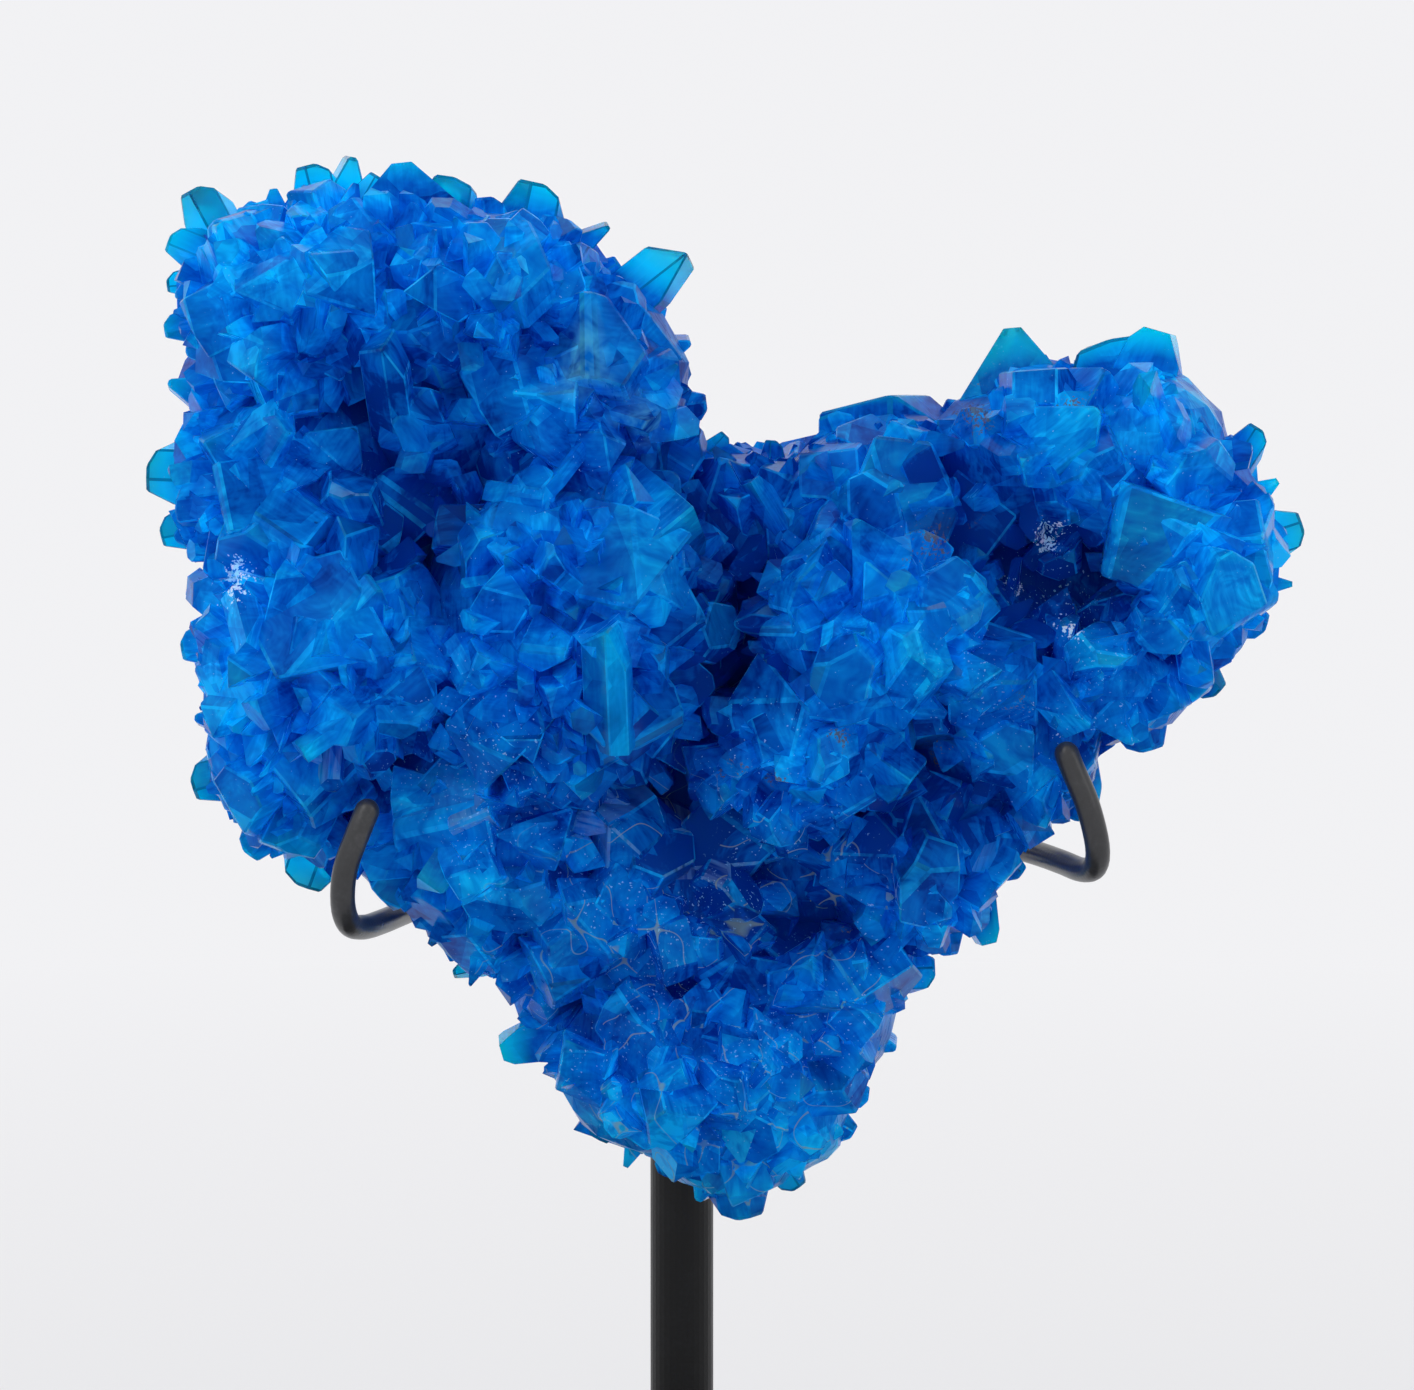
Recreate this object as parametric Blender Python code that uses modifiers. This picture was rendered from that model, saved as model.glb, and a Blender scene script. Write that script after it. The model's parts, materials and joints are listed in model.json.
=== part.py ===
# A chalcanthite cluster held on a black wire stand.
#
# Frame: metres, +Z up. The origin is the centre of the base plate's underside, the specimen's
# front faces -Y, and the stand's post rises behind it. Sizes below are millimetres unless a name
# says otherwise. Heights in the lists of the cluster are measured from the specimen's lowest tip.

import math
import random

import bmesh
import bpy
from mathutils import Matrix, Quaternion, Vector
from mathutils.bvhtree import BVHTree

MM = 0.001
GAP = 0.3

# Stand
BASE_WIDTH = 100.0
BASE_DEPTH = 84.0
BASE_HEIGHT = 8.0
BASE_CORNER_RADIUS = 4.0
BASE_EDGE_RADIUS = 0.8
POST_DIAMETER = 6.5
POST_BACK = 22.0
POST_SOCKET_DEPTH = 6.0
POST_TOP = 110.0
POST_TOP_RADIUS = 1.0
WIRE_DIAMETER = 2.45

# Specimen
TIP_HEIGHT = 48.0
ROOT_DEPTH = 4.5
STAND_CLEARANCE = 0.5
FRONT_SPACING = 6.9
BACK_SPACING = 11.0
FRONT_SHARE = 1.6
CLOSEST = 0.86
POINTS_PER_CRYSTAL = 2.4
TILT_SPREAD = 32.0
FIELD_WIDTH = 1.15
WIDTH_SPREAD = (0.8, 1.15)
FLATNESS = (0.45, 0.95)
RISE = (0.35, 0.75)
LEAST_LENGTH = 0.6
LENGTH_STEP = 0.5
EDGE_MARGIN = 0.15
BURIED = 0.97
LUMP_ROUGHNESS = 0.09
FLAT_ANGLE = 0.3
CLUSTER_TRIANGLES = 8300
SEED = 29

# Lumps of the crystal mass: centre (x, y, height), half sizes (x, y, height)
LUMPS = [
    ((-36, -2, 91), (12, 15, 10)),
    ((-20, -3, 92), (14, 15, 9)),
    ((-11, -3, 83), (12.5, 14, 11.5)),
    ((-35.5, -1, 74), (13, 14, 14)),
    ((-33, -4, 57), (14.8, 18, 14)),
    ((-12, -7, 60), (16, 18, 17)),
    ((-37, -3, 46), (8.5, 12, 8)),
    ((-20, -4, 42), (15, 14, 13)),
    ((-4, -2, 32), (15, 12, 13)),
    ((0.5, -2, 17), (14, 12, 11.5)),
    ((13, -2, 21), (11.5, 10, 9)),
    ((10.5, -1.5, 11), (6.5, 8, 7)),
    ((5, -1.5, 8), (8, 8.5, 6)),
    ((22, -3, 36), (9.5, 11, 9)),
    ((8, 0, 69), (12, 10, 7.5)),
    ((20, -2, 72), (11, 12, 8.5)),
    ((35, -2, 76), (12, 13, 8.5)),
    ((46, -2, 77), (9, 12, 9)),
    ((50, -4, 66), (8, 13, 10)),
    ((42.5, -3, 55), (9.5, 12, 7)),
    ((30.5, -2, 54), (11.5, 12, 14)),
    ((19, -7, 60), (12, 16, 11)),
    ((12, -6, 48), (11, 14, 9)),
    ((2, 1, 52), (12, 11, 20)),
    ((39, 0, 64), (10, 8, 9)),
    ((35, -4, 49.5), (7.5, 8, 10)),
    ((12, -1, 37), (9, 9, 9)),
    ((-19, -3, 31), (6.5, 8, 6)),
    ((8, 3, 52), (25, 11, 24)),
    ((-24, 3, 66), (19, 14, 26)),
    ((30, 3, 62), (23, 12, 16)),
]

# Crystals of their own shape, from the top left round the outline and then on the face:
# tip (x, y, height), angle in the plane of the face (0 is +X, 90 is up), lean towards the
# viewer, length that shows, width, thickness, form
LONE_CRYSTALS = [
    ((-48.5, 2, 103), 118, 0, 7, 5.5, 5, "block"),
    ((-40.5, 0, 103), 95, 5, 5, 5, 5, "pyramid"),
    ((-36.5, 4, 105.6), 100, 0, 6, 3.6, 3.4, "block"),
    ((-33, 4, 106), 78, 0, 6, 4.6, 3.5, "wedge"),
    ((-30, 1, 104.2), 60, 0, 5, 3.6, 3.6, "block"),
    ((-27.6, -3, 105.6), 98, 0, 9, 7.5, 6, "pyramid"),
    ((-23.5, 5, 104), 82, 0, 5, 4.6, 2.6, "tablet"),
    ((-19.2, 0, 102.2), 95, 0, 6, 4.4, 4, "block"),
    ((-13.6, 2, 103.2), 76, 0, 8, 5.6, 3.6, "block"),
    ((-7.2, 0, 99.4), 32, 0, 7, 3.4, 3, "wedge"),
    ((-6, 2, 95.4), 35, 0, 5, 4, 3.6, "block"),
    ((1, 1, 96.4), 38, 0, 11, 4.7, 4, "prism"),
    ((0.9, -1, 88), 20, 0, 5, 4, 4, "wedge"),
    ((2.6, 0, 81.5), 8, 0, 5, 4, 4, "block"),
    ((4.6, 1, 78.4), 48, 0, 3.5, 2.6, 2.4, "block"),
    ((9.2, 0, 78), 88, 0, 3.5, 2.8, 2.6, "block"),
    ((15, -1, 80.8), 112, 0, 6, 5, 4, "block"),
    ((28, 0, 81.8), 3, 0, 9.8, 3.2, 5, "prism"),
    ((32, 0, 88.8), 98, 0, 9, 7.6, 6, "pyramid"),
    ((41, 2, 88), 86, 0, 8, 6.6, 5, "block"),
    ((47.5, 1, 88.6), 72, 0, 8.5, 6.2, 5, "block"),
    ((53.5, -1, 80), 52, 0, 5, 4, 4, "wedge"),
    ((57.6, 0, 79.2), 58, 0, 5, 3.8, 3.6, "block"),
    ((59.4, -2, 74), 32, 0, 5, 4.4, 4, "pyramid"),
    ((62.2, 3, 69.3), 18, 0, 6, 5.2, 4, "block"),
    ((60.9, -2, 63.7), 0, 0, 5, 3.4, 3.4, "pyramid"),
    ((58.3, -1, 59.5), -18, 0, 5, 4.4, 4, "block"),
    ((53.6, 0, 52.8), -45, 0, 5, 4.4, 4, "block"),
    ((46.6, 0, 47), -75, 0, 6, 6, 4.4, "block"),
    ((41.4, 1, 46), -85, 0, 5, 5, 4, "wedge"),
    ((35.6, 6, 37), -8, 0, 4.5, 3.2, 3, "block"),
    ((34, 1, 34.4), -38, 0, 5, 3.6, 3.6, "block"),
    ((30.6, 0, 27.6), -76, 0, 8, 4.2, 3.6, "tongue"),
    ((26.6, 1, 26.4), -86, 0, 6, 4.2, 4, "block"),
    ((25.4, -1, 25), 2, 0, 5, 4.6, 4, "block"),
    ((21.6, 0, 17.4), -18, 0, 5, 4.2, 4, "wedge"),
    ((18.8, 0, 12.2), -8, 0, 4, 3.4, 3.2, "block"),
    ((17.2, 0, 8.4), -32, 0, 4.5, 3.6, 3.4, "block"),
    ((11.6, 0, 3), -58, 0, 5, 4, 4, "block"),
    ((6.4, 0, 0), -78, 0, 7, 6.6, 4.6, "block"),
    ((2, -1, 1.8), -112, 0, 5, 5, 4, "wedge"),
    ((-2, 0, 4.4), -118, 0, 4, 3.2, 3, "block"),
    ((-5.6, 0, 5), -112, 0, 4.5, 3.4, 3, "pyramid"),
    ((-8.6, 1, 8), -120, 0, 9, 5, 4, "block"),
    ((-18, -2, 17.2), 196, 0, 5.5, 4.6, 3.4, "tongue"),
    ((-18, 0, 23.4), 212, 0, 5, 3.8, 3.6, "block"),
    ((-23, 6, 24.2), 192, 0, 6, 2.6, 5, "block"),
    ((-25.2, 0, 27.4), 232, 0, 4.5, 3.6, 3.4, "pyramid"),
    ((-38, 4, 33), 250, 0, 6, 6.4, 4, "block"),
    ((-43.4, 1, 36.6), 232, 0, 5, 4.6, 4, "block"),
    ((-48.8, 0, 43.6), 196, 0, 7, 5.6, 5, "block"),
    ((-48.4, -2, 50.2), 176, 0, 5, 4.6, 4, "wedge"),
    ((-49.8, -1, 57.4), 188, 0, 5, 4.6, 4, "block"),
    ((-49.4, 0, 63), 172, 0, 5, 5.6, 4, "pyramid"),
    ((-52, 2, 68.6), 192, 0, 5.5, 4.6, 3.6, "block"),
    ((-53, 3, 75.2), 178, 0, 7, 6.4, 4, "block"),
    ((-51, -1, 83.6), 160, 0, 5, 4.4, 4, "wedge"),
    ((-51.4, 0, 89.2), 186, 0, 5, 3.6, 3.4, "block"),
    ((-51.2, 1, 93.6), 184, 0, 5, 3.2, 3, "block"),
    ((-50.8, -1, 98), 158, 0, 5, 4.4, 4, "block"),
    ((-29, -21, 89), 96, 42, 9, 5, 4.4, "prism"),
    ((-32, -18, 73.5), 110, 50, 6, 7, 6, "block"),
    ((-7.2, -28, 61.5), 92, 24, 9, 5, 4.4, "prism"),
    ((17, -24, 71), 120, 35, 7, 7, 5, "pyramid"),
    ((24, -26, 60), 60, 55, 6, 7.5, 6, "block"),
    ((12, -22, 47), 200, 45, 6, 6.5, 5, "block"),
    ((50, -19, 66), 60, 45, 6, 6.5, 5, "block"),
]

# Routes of the two wires, from the post to the rounded tip: (x, y, height above the floor)
LEFT_ROUTE = [
    (-9.5, 21, 80.5), (-16, 19.5, 79.5), (-21.5, 17, 79), (-25, 13, 78.6), (-26.8, 8, 78.4),
    (-28.2, 2, 78.3), (-29.8, -6, 78.3), (-31.2, -13, 78.5), (-32.4, -17.6, 79.3),
    (-32.9, -20.2, 81.6), (-32.6, -21, 85), (-31.4, -20.9, 88.4), (-30, -20.2, 91.6),
    (-28.9, -19.2, 94.6),
]
RIGHT_ROUTE = [
    (9.5, 21, 87), (17, 19.5, 86.2), (24, 17.6, 85.6), (29.5, 14.6, 85), (33, 9.6, 84.6),
    (35.8, 3.4, 84.3), (38, -3, 84), (39.7, -9, 83.8), (40.8, -12.8, 84.5),
    (40.9, -14.8, 86.8), (39.9, -15.2, 90.8), (38.4, -14.6, 94.4), (37, -13.4, 97.9),
]
ROUTE_STEP = 3.0
ROUTE_RISE = 0.3


def clear_scene():
    for old in list(bpy.data.objects):
        bpy.data.objects.remove(old, do_unlink=True)


def make_collection(name):
    collection = bpy.data.collections.new(name)
    bpy.context.scene.collection.children.link(collection)
    return collection


def make_material(name, colour, roughness, metallic=0.0, transmission=0.0):
    material = bpy.data.materials.new(name)
    material.use_nodes = True
    shader = material.node_tree.nodes["Principled BSDF"]
    shader.inputs["Base Color"].default_value = (*colour, 1.0)
    shader.inputs["Roughness"].default_value = roughness
    shader.inputs["Metallic"].default_value = metallic
    shader.inputs["Transmission Weight"].default_value = transmission
    material.diffuse_color = (*colour, 1.0)
    return material


def mesh_object(name, bm, collection, material=None):
    mesh = bpy.data.meshes.new(name)
    bm.to_mesh(mesh)
    bm.free()
    thing = bpy.data.objects.new(name, mesh)
    collection.objects.link(thing)
    if material:
        mesh.materials.append(material)
    return thing


# Crystal forms. Each is a skewed block, x and y from -0.5 to 0.5 and z from 0 at the root to 1
# at the tip, cut by planes given as (point, outward direction).
BLOCK_SKEW = 0.28
FORM_CUTS = {
    "block": [
        ((0.52, 0.0, 0.5), (1.0, 0.75, 0.0)),
        ((-0.5, 0.0, 0.5), (-1.0, -0.8, 0.0)),
        ((0.1, 0.0, 0.9), (0.34, 0.22, 1.0)),
        ((-0.28, 0.0, 0.93), (-0.8, 0.3, 1.0)),
    ],
    "prism": [
        ((0.46, 0.0, 0.5), (1.0, 0.9, 0.0)),
        ((-0.46, 0.0, 0.5), (-1.0, -0.9, 0.0)),
        ((0.0, 0.0, 0.95), (-0.22, 0.12, 1.0)),
        ((0.3, 0.0, 0.9), (0.9, -0.3, 1.0)),
    ],
    "wedge": [
        ((0.5, 0.0, 0.5), (1.0, 0.8, 0.0)),
        ((0.14, 0.0, 0.92), (0.62, 0.1, 0.6)),
        ((-0.14, 0.0, 0.92), (-0.75, -0.1, 0.6)),
    ],
    "tablet": [
        ((0.46, 0.0, 0.5), (1.0, 0.5, 0.0)),
        ((0.0, 0.0, 0.96), (0.2, 0.1, 1.0)),
        ((-0.3, 0.0, 0.9), (-0.9, 0.2, 0.9)),
    ],
    "pyramid": [
        ((0.08, 0.0, 0.96), (0.8, 0.35, 0.5)),
        ((-0.1, 0.0, 0.94), (-0.85, 0.3, 0.55)),
        ((0.0, -0.1, 0.92), (0.1, -0.9, 0.55)),
        ((0.0, 0.16, 0.9), (-0.1, 0.9, 0.6)),
    ],
    "slant": [
        ((0.0, 0.0, 0.84), (0.75, 0.3, 1.0)),
    ],
    "chisel": [
        ((0.06, 0.0, 0.96), (1.0, 0.15, 0.75)),
        ((-0.06, 0.0, 0.96), (-0.7, 0.2, 0.8)),
    ],
    "spear": [
        ((0.08, 0.0, 0.94), (1.0, 0.5, 0.6)),
        ((-0.12, 0.0, 0.94), (-1.0, 0.5, 0.7)),
        ((0.0, -0.1, 0.93), (0.1, -1.0, 0.8)),
    ],
    "tongue": [
        ((0.42, 0.0, 0.78), (1.0, 0.1, 0.35)),
        ((0.26, 0.0, 0.93), (0.75, -0.1, 0.8)),
        ((-0.24, 0.0, 0.94), (-0.6, 0.1, 0.9)),
        ((-0.42, 0.0, 0.8), (-1.0, 0.0, 0.4)),
    ],
}
FIELD_FORMS = ["slant", "chisel", "spear", "slant"]


def crystal_form(form):
    # The form's mesh, cut from one cube
    bm = bmesh.new()
    bmesh.ops.create_cube(bm, size=1.0)
    for vert in bm.verts:
        vert.co.x += BLOCK_SKEW * vert.co.y
        vert.co.z += 0.5
    for point, outward in FORM_CUTS[form]:
        everything = bm.verts[:] + bm.edges[:] + bm.faces[:]
        bmesh.ops.bisect_plane(bm, geom=everything, plane_co=point, plane_no=outward, clear_outer=True)
        bmesh.ops.holes_fill(bm, edges=bm.edges[:], sides=0)
    bmesh.ops.recalc_face_normals(bm, faces=bm.faces[:])
    mesh = bpy.data.meshes.new("form_" + form)
    bm.to_mesh(mesh)
    bm.free()
    return mesh


def turned_frame(direction, spin):
    # Rotation that takes +Z to the direction, turned about it by the spin
    return direction.to_track_quat("Z", "Y") @ Quaternion((0, 0, 1), spin)


def crystal_placement(tip, direction, length, width, thickness, spin):
    # The crystal's root lies ROOT_DEPTH deeper than the length that shows
    direction = direction.normalized()
    root = tip - direction * (length + ROOT_DEPTH)
    size = Matrix.Diagonal((width, thickness, length + ROOT_DEPTH, 1.0))
    return Matrix.Translation(root) @ turned_frame(direction, spin).to_matrix().to_4x4() @ size


def lone_placements():
    for tip, angle, lean, length, width, thickness, form in LONE_CRYSTALS:
        x, y, height = tip
        a = math.radians(angle)
        b = math.radians(lean)
        direction = Vector((math.cos(a) * math.cos(b), -math.sin(b), math.sin(a) * math.cos(b)))
        frame = direction.to_track_quat("Z", "Y").to_matrix()
        # The crystal's width lies in the plane of the face
        across = direction.cross(Vector((0, -1, 0)))
        spin = math.atan2(across.dot(frame.col[1]), across.dot(frame.col[0]))
        place = Vector((x, y, height + TIP_HEIGHT))
        yield form, place, crystal_placement(place, direction, length, width, thickness, spin)


def ellipsoid_value(point, lump):
    centre, half = lump
    return sum(((point[i] - centre[i]) / half[i]) ** 2 for i in range(3))


def surface_points(lump, spacing):
    # Points spread evenly over an ellipsoid on a golden-angle spiral, with its outward normals
    centre, half = lump
    power = 1.6
    mean = ((half[0] * half[1]) ** power + (half[0] * half[2]) ** power + (half[1] * half[2]) ** power) / 3
    area = 4 * math.pi * mean ** (1 / power)
    count = int(area / spacing ** 2 * POINTS_PER_CRYSTAL)
    golden = math.pi * (3 - math.sqrt(5))
    for i in range(count):
        z = 1 - 2 * (i + 0.5) / count
        r = math.sqrt(1 - z * z)
        unit = Vector((r * math.cos(i * golden), r * math.sin(i * golden), z))
        point = Vector([centre[k] + unit[k] * half[k] for k in range(3)])
        normal = Vector([unit[k] / half[k] for k in range(3)]).normalized()
        yield point, normal


def outline_points():
    # The edge that the lone crystals stand on, seen from the front
    points = []
    for tip, angle, lean, length, width, thickness, form in LONE_CRYSTALS:
        if lean == 0:
            back = EDGE_MARGIN * length
            a = math.radians(angle)
            points.append((tip[0] - back * math.cos(a), tip[2] - back * math.sin(a) + TIP_HEIGHT))
    return points


def inside_outline(point, outline):
    inside = False
    for (x1, z1), (x2, z2) in zip(outline, outline[1:] + outline[:1]):
        if (z1 > point.z) != (z2 > point.z):
            if point.x < x1 + (point.z - z1) / (z2 - z1) * (x2 - x1):
                inside = not inside
    return inside


def field_placements(taken, forms):
    # Crystals all over the lumps, more closely on the front than on the back
    rng = random.Random(SEED)
    outline = outline_points()
    kept = list(taken)
    for lump in LUMPS:
        others = [other for other in LUMPS if other is not lump]
        for point, normal in surface_points(lump, FRONT_SPACING):
            spread = rng.uniform(*WIDTH_SPREAD)
            tilt_axis = Vector((rng.gauss(0, 1), rng.gauss(0, 1), rng.gauss(0, 1))).normalized()
            tilt = rng.gauss(0, math.radians(TILT_SPREAD))
            spin = rng.uniform(0, 2 * math.pi)
            form = rng.choice(FIELD_FORMS)
            flatness = rng.uniform(*FLATNESS)
            rise = rng.uniform(*RISE)
            if any(ellipsoid_value(point, other) < BURIED for other in others):
                continue
            facing = (1 - normal.y) / 2
            spacing = BACK_SPACING + (FRONT_SPACING - BACK_SPACING) * min(1.0, facing * FRONT_SHARE)
            place = point + Vector((0, 0, TIP_HEIGHT))
            if any((place - other).length < spacing * spread * CLOSEST for other in kept):
                continue
            direction = Quaternion(tilt_axis, tilt) @ normal
            length = spacing * rise
            width = spacing * spread * FIELD_WIDTH
            while length > LEAST_LENGTH:
                tip = place + direction * length
                matrix = crystal_placement(tip, direction, length, width, width * flatness, spin)
                corners = [matrix @ vert.co for vert in forms[form].vertices if vert.co.z > 0.5]
                if all(inside_outline(corner, outline) for corner in corners):
                    kept.append(place)
                    yield form, tip, matrix
                    break
                length -= LENGTH_STEP


def segment_distance(point, a, b):
    along = b - a
    t = max(0.0, min(1.0, (point - a).dot(along) / along.length_squared))
    return (point - a - along * t).length


def stand_lines():
    # Centre lines of the post and the two wires, in short stretches with their radii
    post = [Vector((0, POST_BACK, BASE_HEIGHT)), Vector((0, POST_BACK, POST_TOP))]
    left = wire_points(LEFT_ROUTE, -1)
    right = wire_points(RIGHT_ROUTE, 1)
    for points, diameter in ((post, POST_DIAMETER), (left, WIRE_DIAMETER), (right, WIRE_DIAMETER)):
        for a, b in zip(points, points[1:]):
            yield a, b, diameter / 2


def clears_stand(mesh, matrix, lines):
    # True where the whole crystal stays clear of the post and the wires
    corners = [matrix @ vert.co for vert in mesh.vertices]
    middle = sum(corners, Vector()) / len(corners)
    size = max((corner - middle).length for corner in corners)
    tree = BVHTree.FromPolygons(corners, [tuple(face.vertices) for face in mesh.polygons])
    for a, b, radius in lines:
        reach = radius + STAND_CLEARANCE
        if segment_distance(middle, a, b) > size + reach:
            continue
        steps = max(2, math.ceil((b - a).length / reach))
        for i in range(steps + 1):
            sample = a + (b - a) * (i / steps)
            nearest, normal, index, distance = tree.find_nearest(sample)
            if distance < reach or (sample - nearest).dot(normal) < 0:
                return False
    return True


def wire_points(route, side):
    # The whole route: out of the post's side, then a smooth curve through the listed points
    start = Vector((side * (POST_DIAMETER / 2 + GAP), POST_BACK, route[0][2] + ROUTE_RISE))
    knots = [start] + [Vector(p) for p in route]
    padded = [knots[0] * 2 - knots[1]] + knots + [knots[-1] * 2 - knots[-2]]
    points = []
    for p0, p1, p2, p3 in zip(padded, padded[1:], padded[2:], padded[3:]):
        steps = max(1, round((p2 - p1).length / ROUTE_STEP))
        for i in range(steps):
            t = i / steps
            points.append(0.5 * (2 * p1 + (p2 - p0) * t + (2 * p0 - 5 * p1 + 4 * p2 - p3) * t ** 2
                                 + (3 * p1 - 3 * p2 + p3 - p0) * t ** 3))
    points.append(knots[-1])
    return points


def union_with(core, helpers):
    # The core joined with every object of the helper collection, as one mesh
    joining = core.modifiers.new("grown together", "BOOLEAN")
    joining.operation = "UNION"
    joining.operand_type = "COLLECTION"
    joining.collection = helpers
    joining.solver = "EXACT"
    evaluated = core.evaluated_get(bpy.context.evaluated_depsgraph_get())
    mesh = bpy.data.meshes.new_from_object(evaluated)
    core.modifiers.clear()
    return mesh


def keep_outer_shell(bm):
    # Closes the small hollows that the crystals seal between them
    bm.faces.ensure_lookup_table()
    seen = set()
    shells = []
    for face in bm.faces:
        if face in seen:
            continue
        shell = [face]
        seen.add(face)
        for current in shell:
            for edge in current.edges:
                for neighbour in edge.link_faces:
                    if neighbour not in seen:
                        seen.add(neighbour)
                        shell.append(neighbour)
        shells.append(shell)
    shells.sort(key=len, reverse=True)
    for shell in shells[1:]:
        bmesh.ops.delete(bm, geom=shell, context="FACES")
    loose = [vert for vert in bm.verts if not vert.link_faces]
    bmesh.ops.delete(bm, geom=loose, context="VERTS")


def thinned(bm, count):
    # The short edges where crystals meet are merged until the count is met
    before = len(bm.faces)
    rough = mesh_object("rough_cluster", bm, bpy.context.scene.collection)
    merge = rough.modifiers.new("merge short edges", "DECIMATE")
    merge.ratio = min(1.0, count / before)
    mesh = bpy.data.meshes.new_from_object(rough.evaluated_get(bpy.context.evaluated_depsgraph_get()))
    bpy.data.objects.remove(rough)
    bm = bmesh.new()
    bm.from_mesh(mesh)
    return bm


def build_cluster(parts, helpers, material):
    forms = {form: crystal_form(form) for form in FORM_CUTS}
    lines = list(stand_lines())
    lone = list(lone_placements())
    taken = [matrix @ Vector((0, 0, 0.5)) for form, tip, matrix in lone]
    field = list(field_placements(taken, forms))
    kept = 0
    for form, tip, matrix in lone + field:
        if not clears_stand(forms[form], matrix, lines):
            continue
        crystal = bpy.data.objects.new("crystal", forms[form].copy())
        crystal.data.transform(Matrix.Scale(MM, 4) @ matrix)
        helpers.objects.link(crystal)
        kept += 1
    for centre, half in LUMPS[1:]:
        helpers.objects.link(lump_object(centre, half))
    core = lump_object(*LUMPS[0])
    parts.objects.link(core)
    mesh = union_with(core, helpers)
    bm = bmesh.new()
    bm.from_mesh(mesh)
    keep_outer_shell(bm)
    bmesh.ops.dissolve_limit(bm, verts=bm.verts[:], edges=bm.edges[:], angle_limit=math.radians(FLAT_ANGLE))
    bmesh.ops.triangulate(bm, faces=bm.faces[:])
    bm = thinned(bm, CLUSTER_TRIANGLES)
    print(f"crystal_cluster: {kept} crystals grown together, {len(bm.faces)} triangles")
    for old in list(helpers.objects):
        bpy.data.objects.remove(old)
    bpy.data.objects.remove(core)
    return mesh_object("crystal_cluster", bm, parts, material)


def lump_object(centre, half):
    bm = bmesh.new()
    bmesh.ops.create_icosphere(bm, subdivisions=2, radius=1.0)
    rng = random.Random(SEED + round(centre[0] * 7 + centre[2] * 13))
    for vert in bm.verts:
        vert.co *= 1 + rng.uniform(-LUMP_ROUGHNESS, LUMP_ROUGHNESS)
    place = Matrix.Translation(Vector((centre[0], centre[1], centre[2] + TIP_HEIGHT)) * MM)
    bmesh.ops.transform(bm, matrix=place @ Matrix.Diagonal((*[h * MM for h in half], 1.0)), verts=bm.verts)
    mesh = bpy.data.meshes.new("lump")
    bm.to_mesh(mesh)
    bm.free()
    return bpy.data.objects.new("lump", mesh)


def build_wire(name, route, side, parts, material):
    points = wire_points(route, side)
    curve = bpy.data.curves.new(name, "CURVE")
    curve.dimensions = "3D"
    curve.bevel_depth = WIRE_DIAMETER / 2 * MM
    curve.bevel_resolution = 2
    curve.use_fill_caps = True
    # The tip's last points close in, so the wire ends in a round nose
    nose = (points[-1] - points[-2]).normalized()
    steps = [(0.0, 1.0), (0.55, 0.87), (0.95, 0.5)]
    spline = curve.splines.new("POLY")
    total = points[:-1] + [points[-1] + nose * (out * WIRE_DIAMETER / 2) for out, size in steps]
    spline.points.add(len(total) - 1)
    for target, place in zip(spline.points, total):
        target.co = (*(place * MM), 1.0)
    for target, (out, size) in zip(spline.points[-len(steps):], steps):
        target.radius = size
    curve.materials.append(material)
    wire = bpy.data.objects.new(name, curve)
    parts.objects.link(wire)
    return wire


def build_post(parts, material):
    bottom = BASE_HEIGHT - POST_SOCKET_DEPTH + GAP
    bm = bmesh.new()
    bmesh.ops.create_cone(bm, cap_ends=True, segments=32, radius1=POST_DIAMETER / 2 * MM,
                          radius2=POST_DIAMETER / 2 * MM, depth=(POST_TOP - bottom) * MM)
    bmesh.ops.translate(bm, verts=bm.verts, vec=(0, POST_BACK * MM, (POST_TOP + bottom) / 2 * MM))
    post = mesh_object("post", bm, parts, material)
    edge = post.modifiers.new("rounded ends", "BEVEL")
    edge.width = POST_TOP_RADIUS * MM
    edge.segments = 2
    edge.limit_method = "ANGLE"
    post.data.shade_smooth()
    post.data.set_sharp_from_angle(angle=math.radians(35))
    return post


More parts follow.
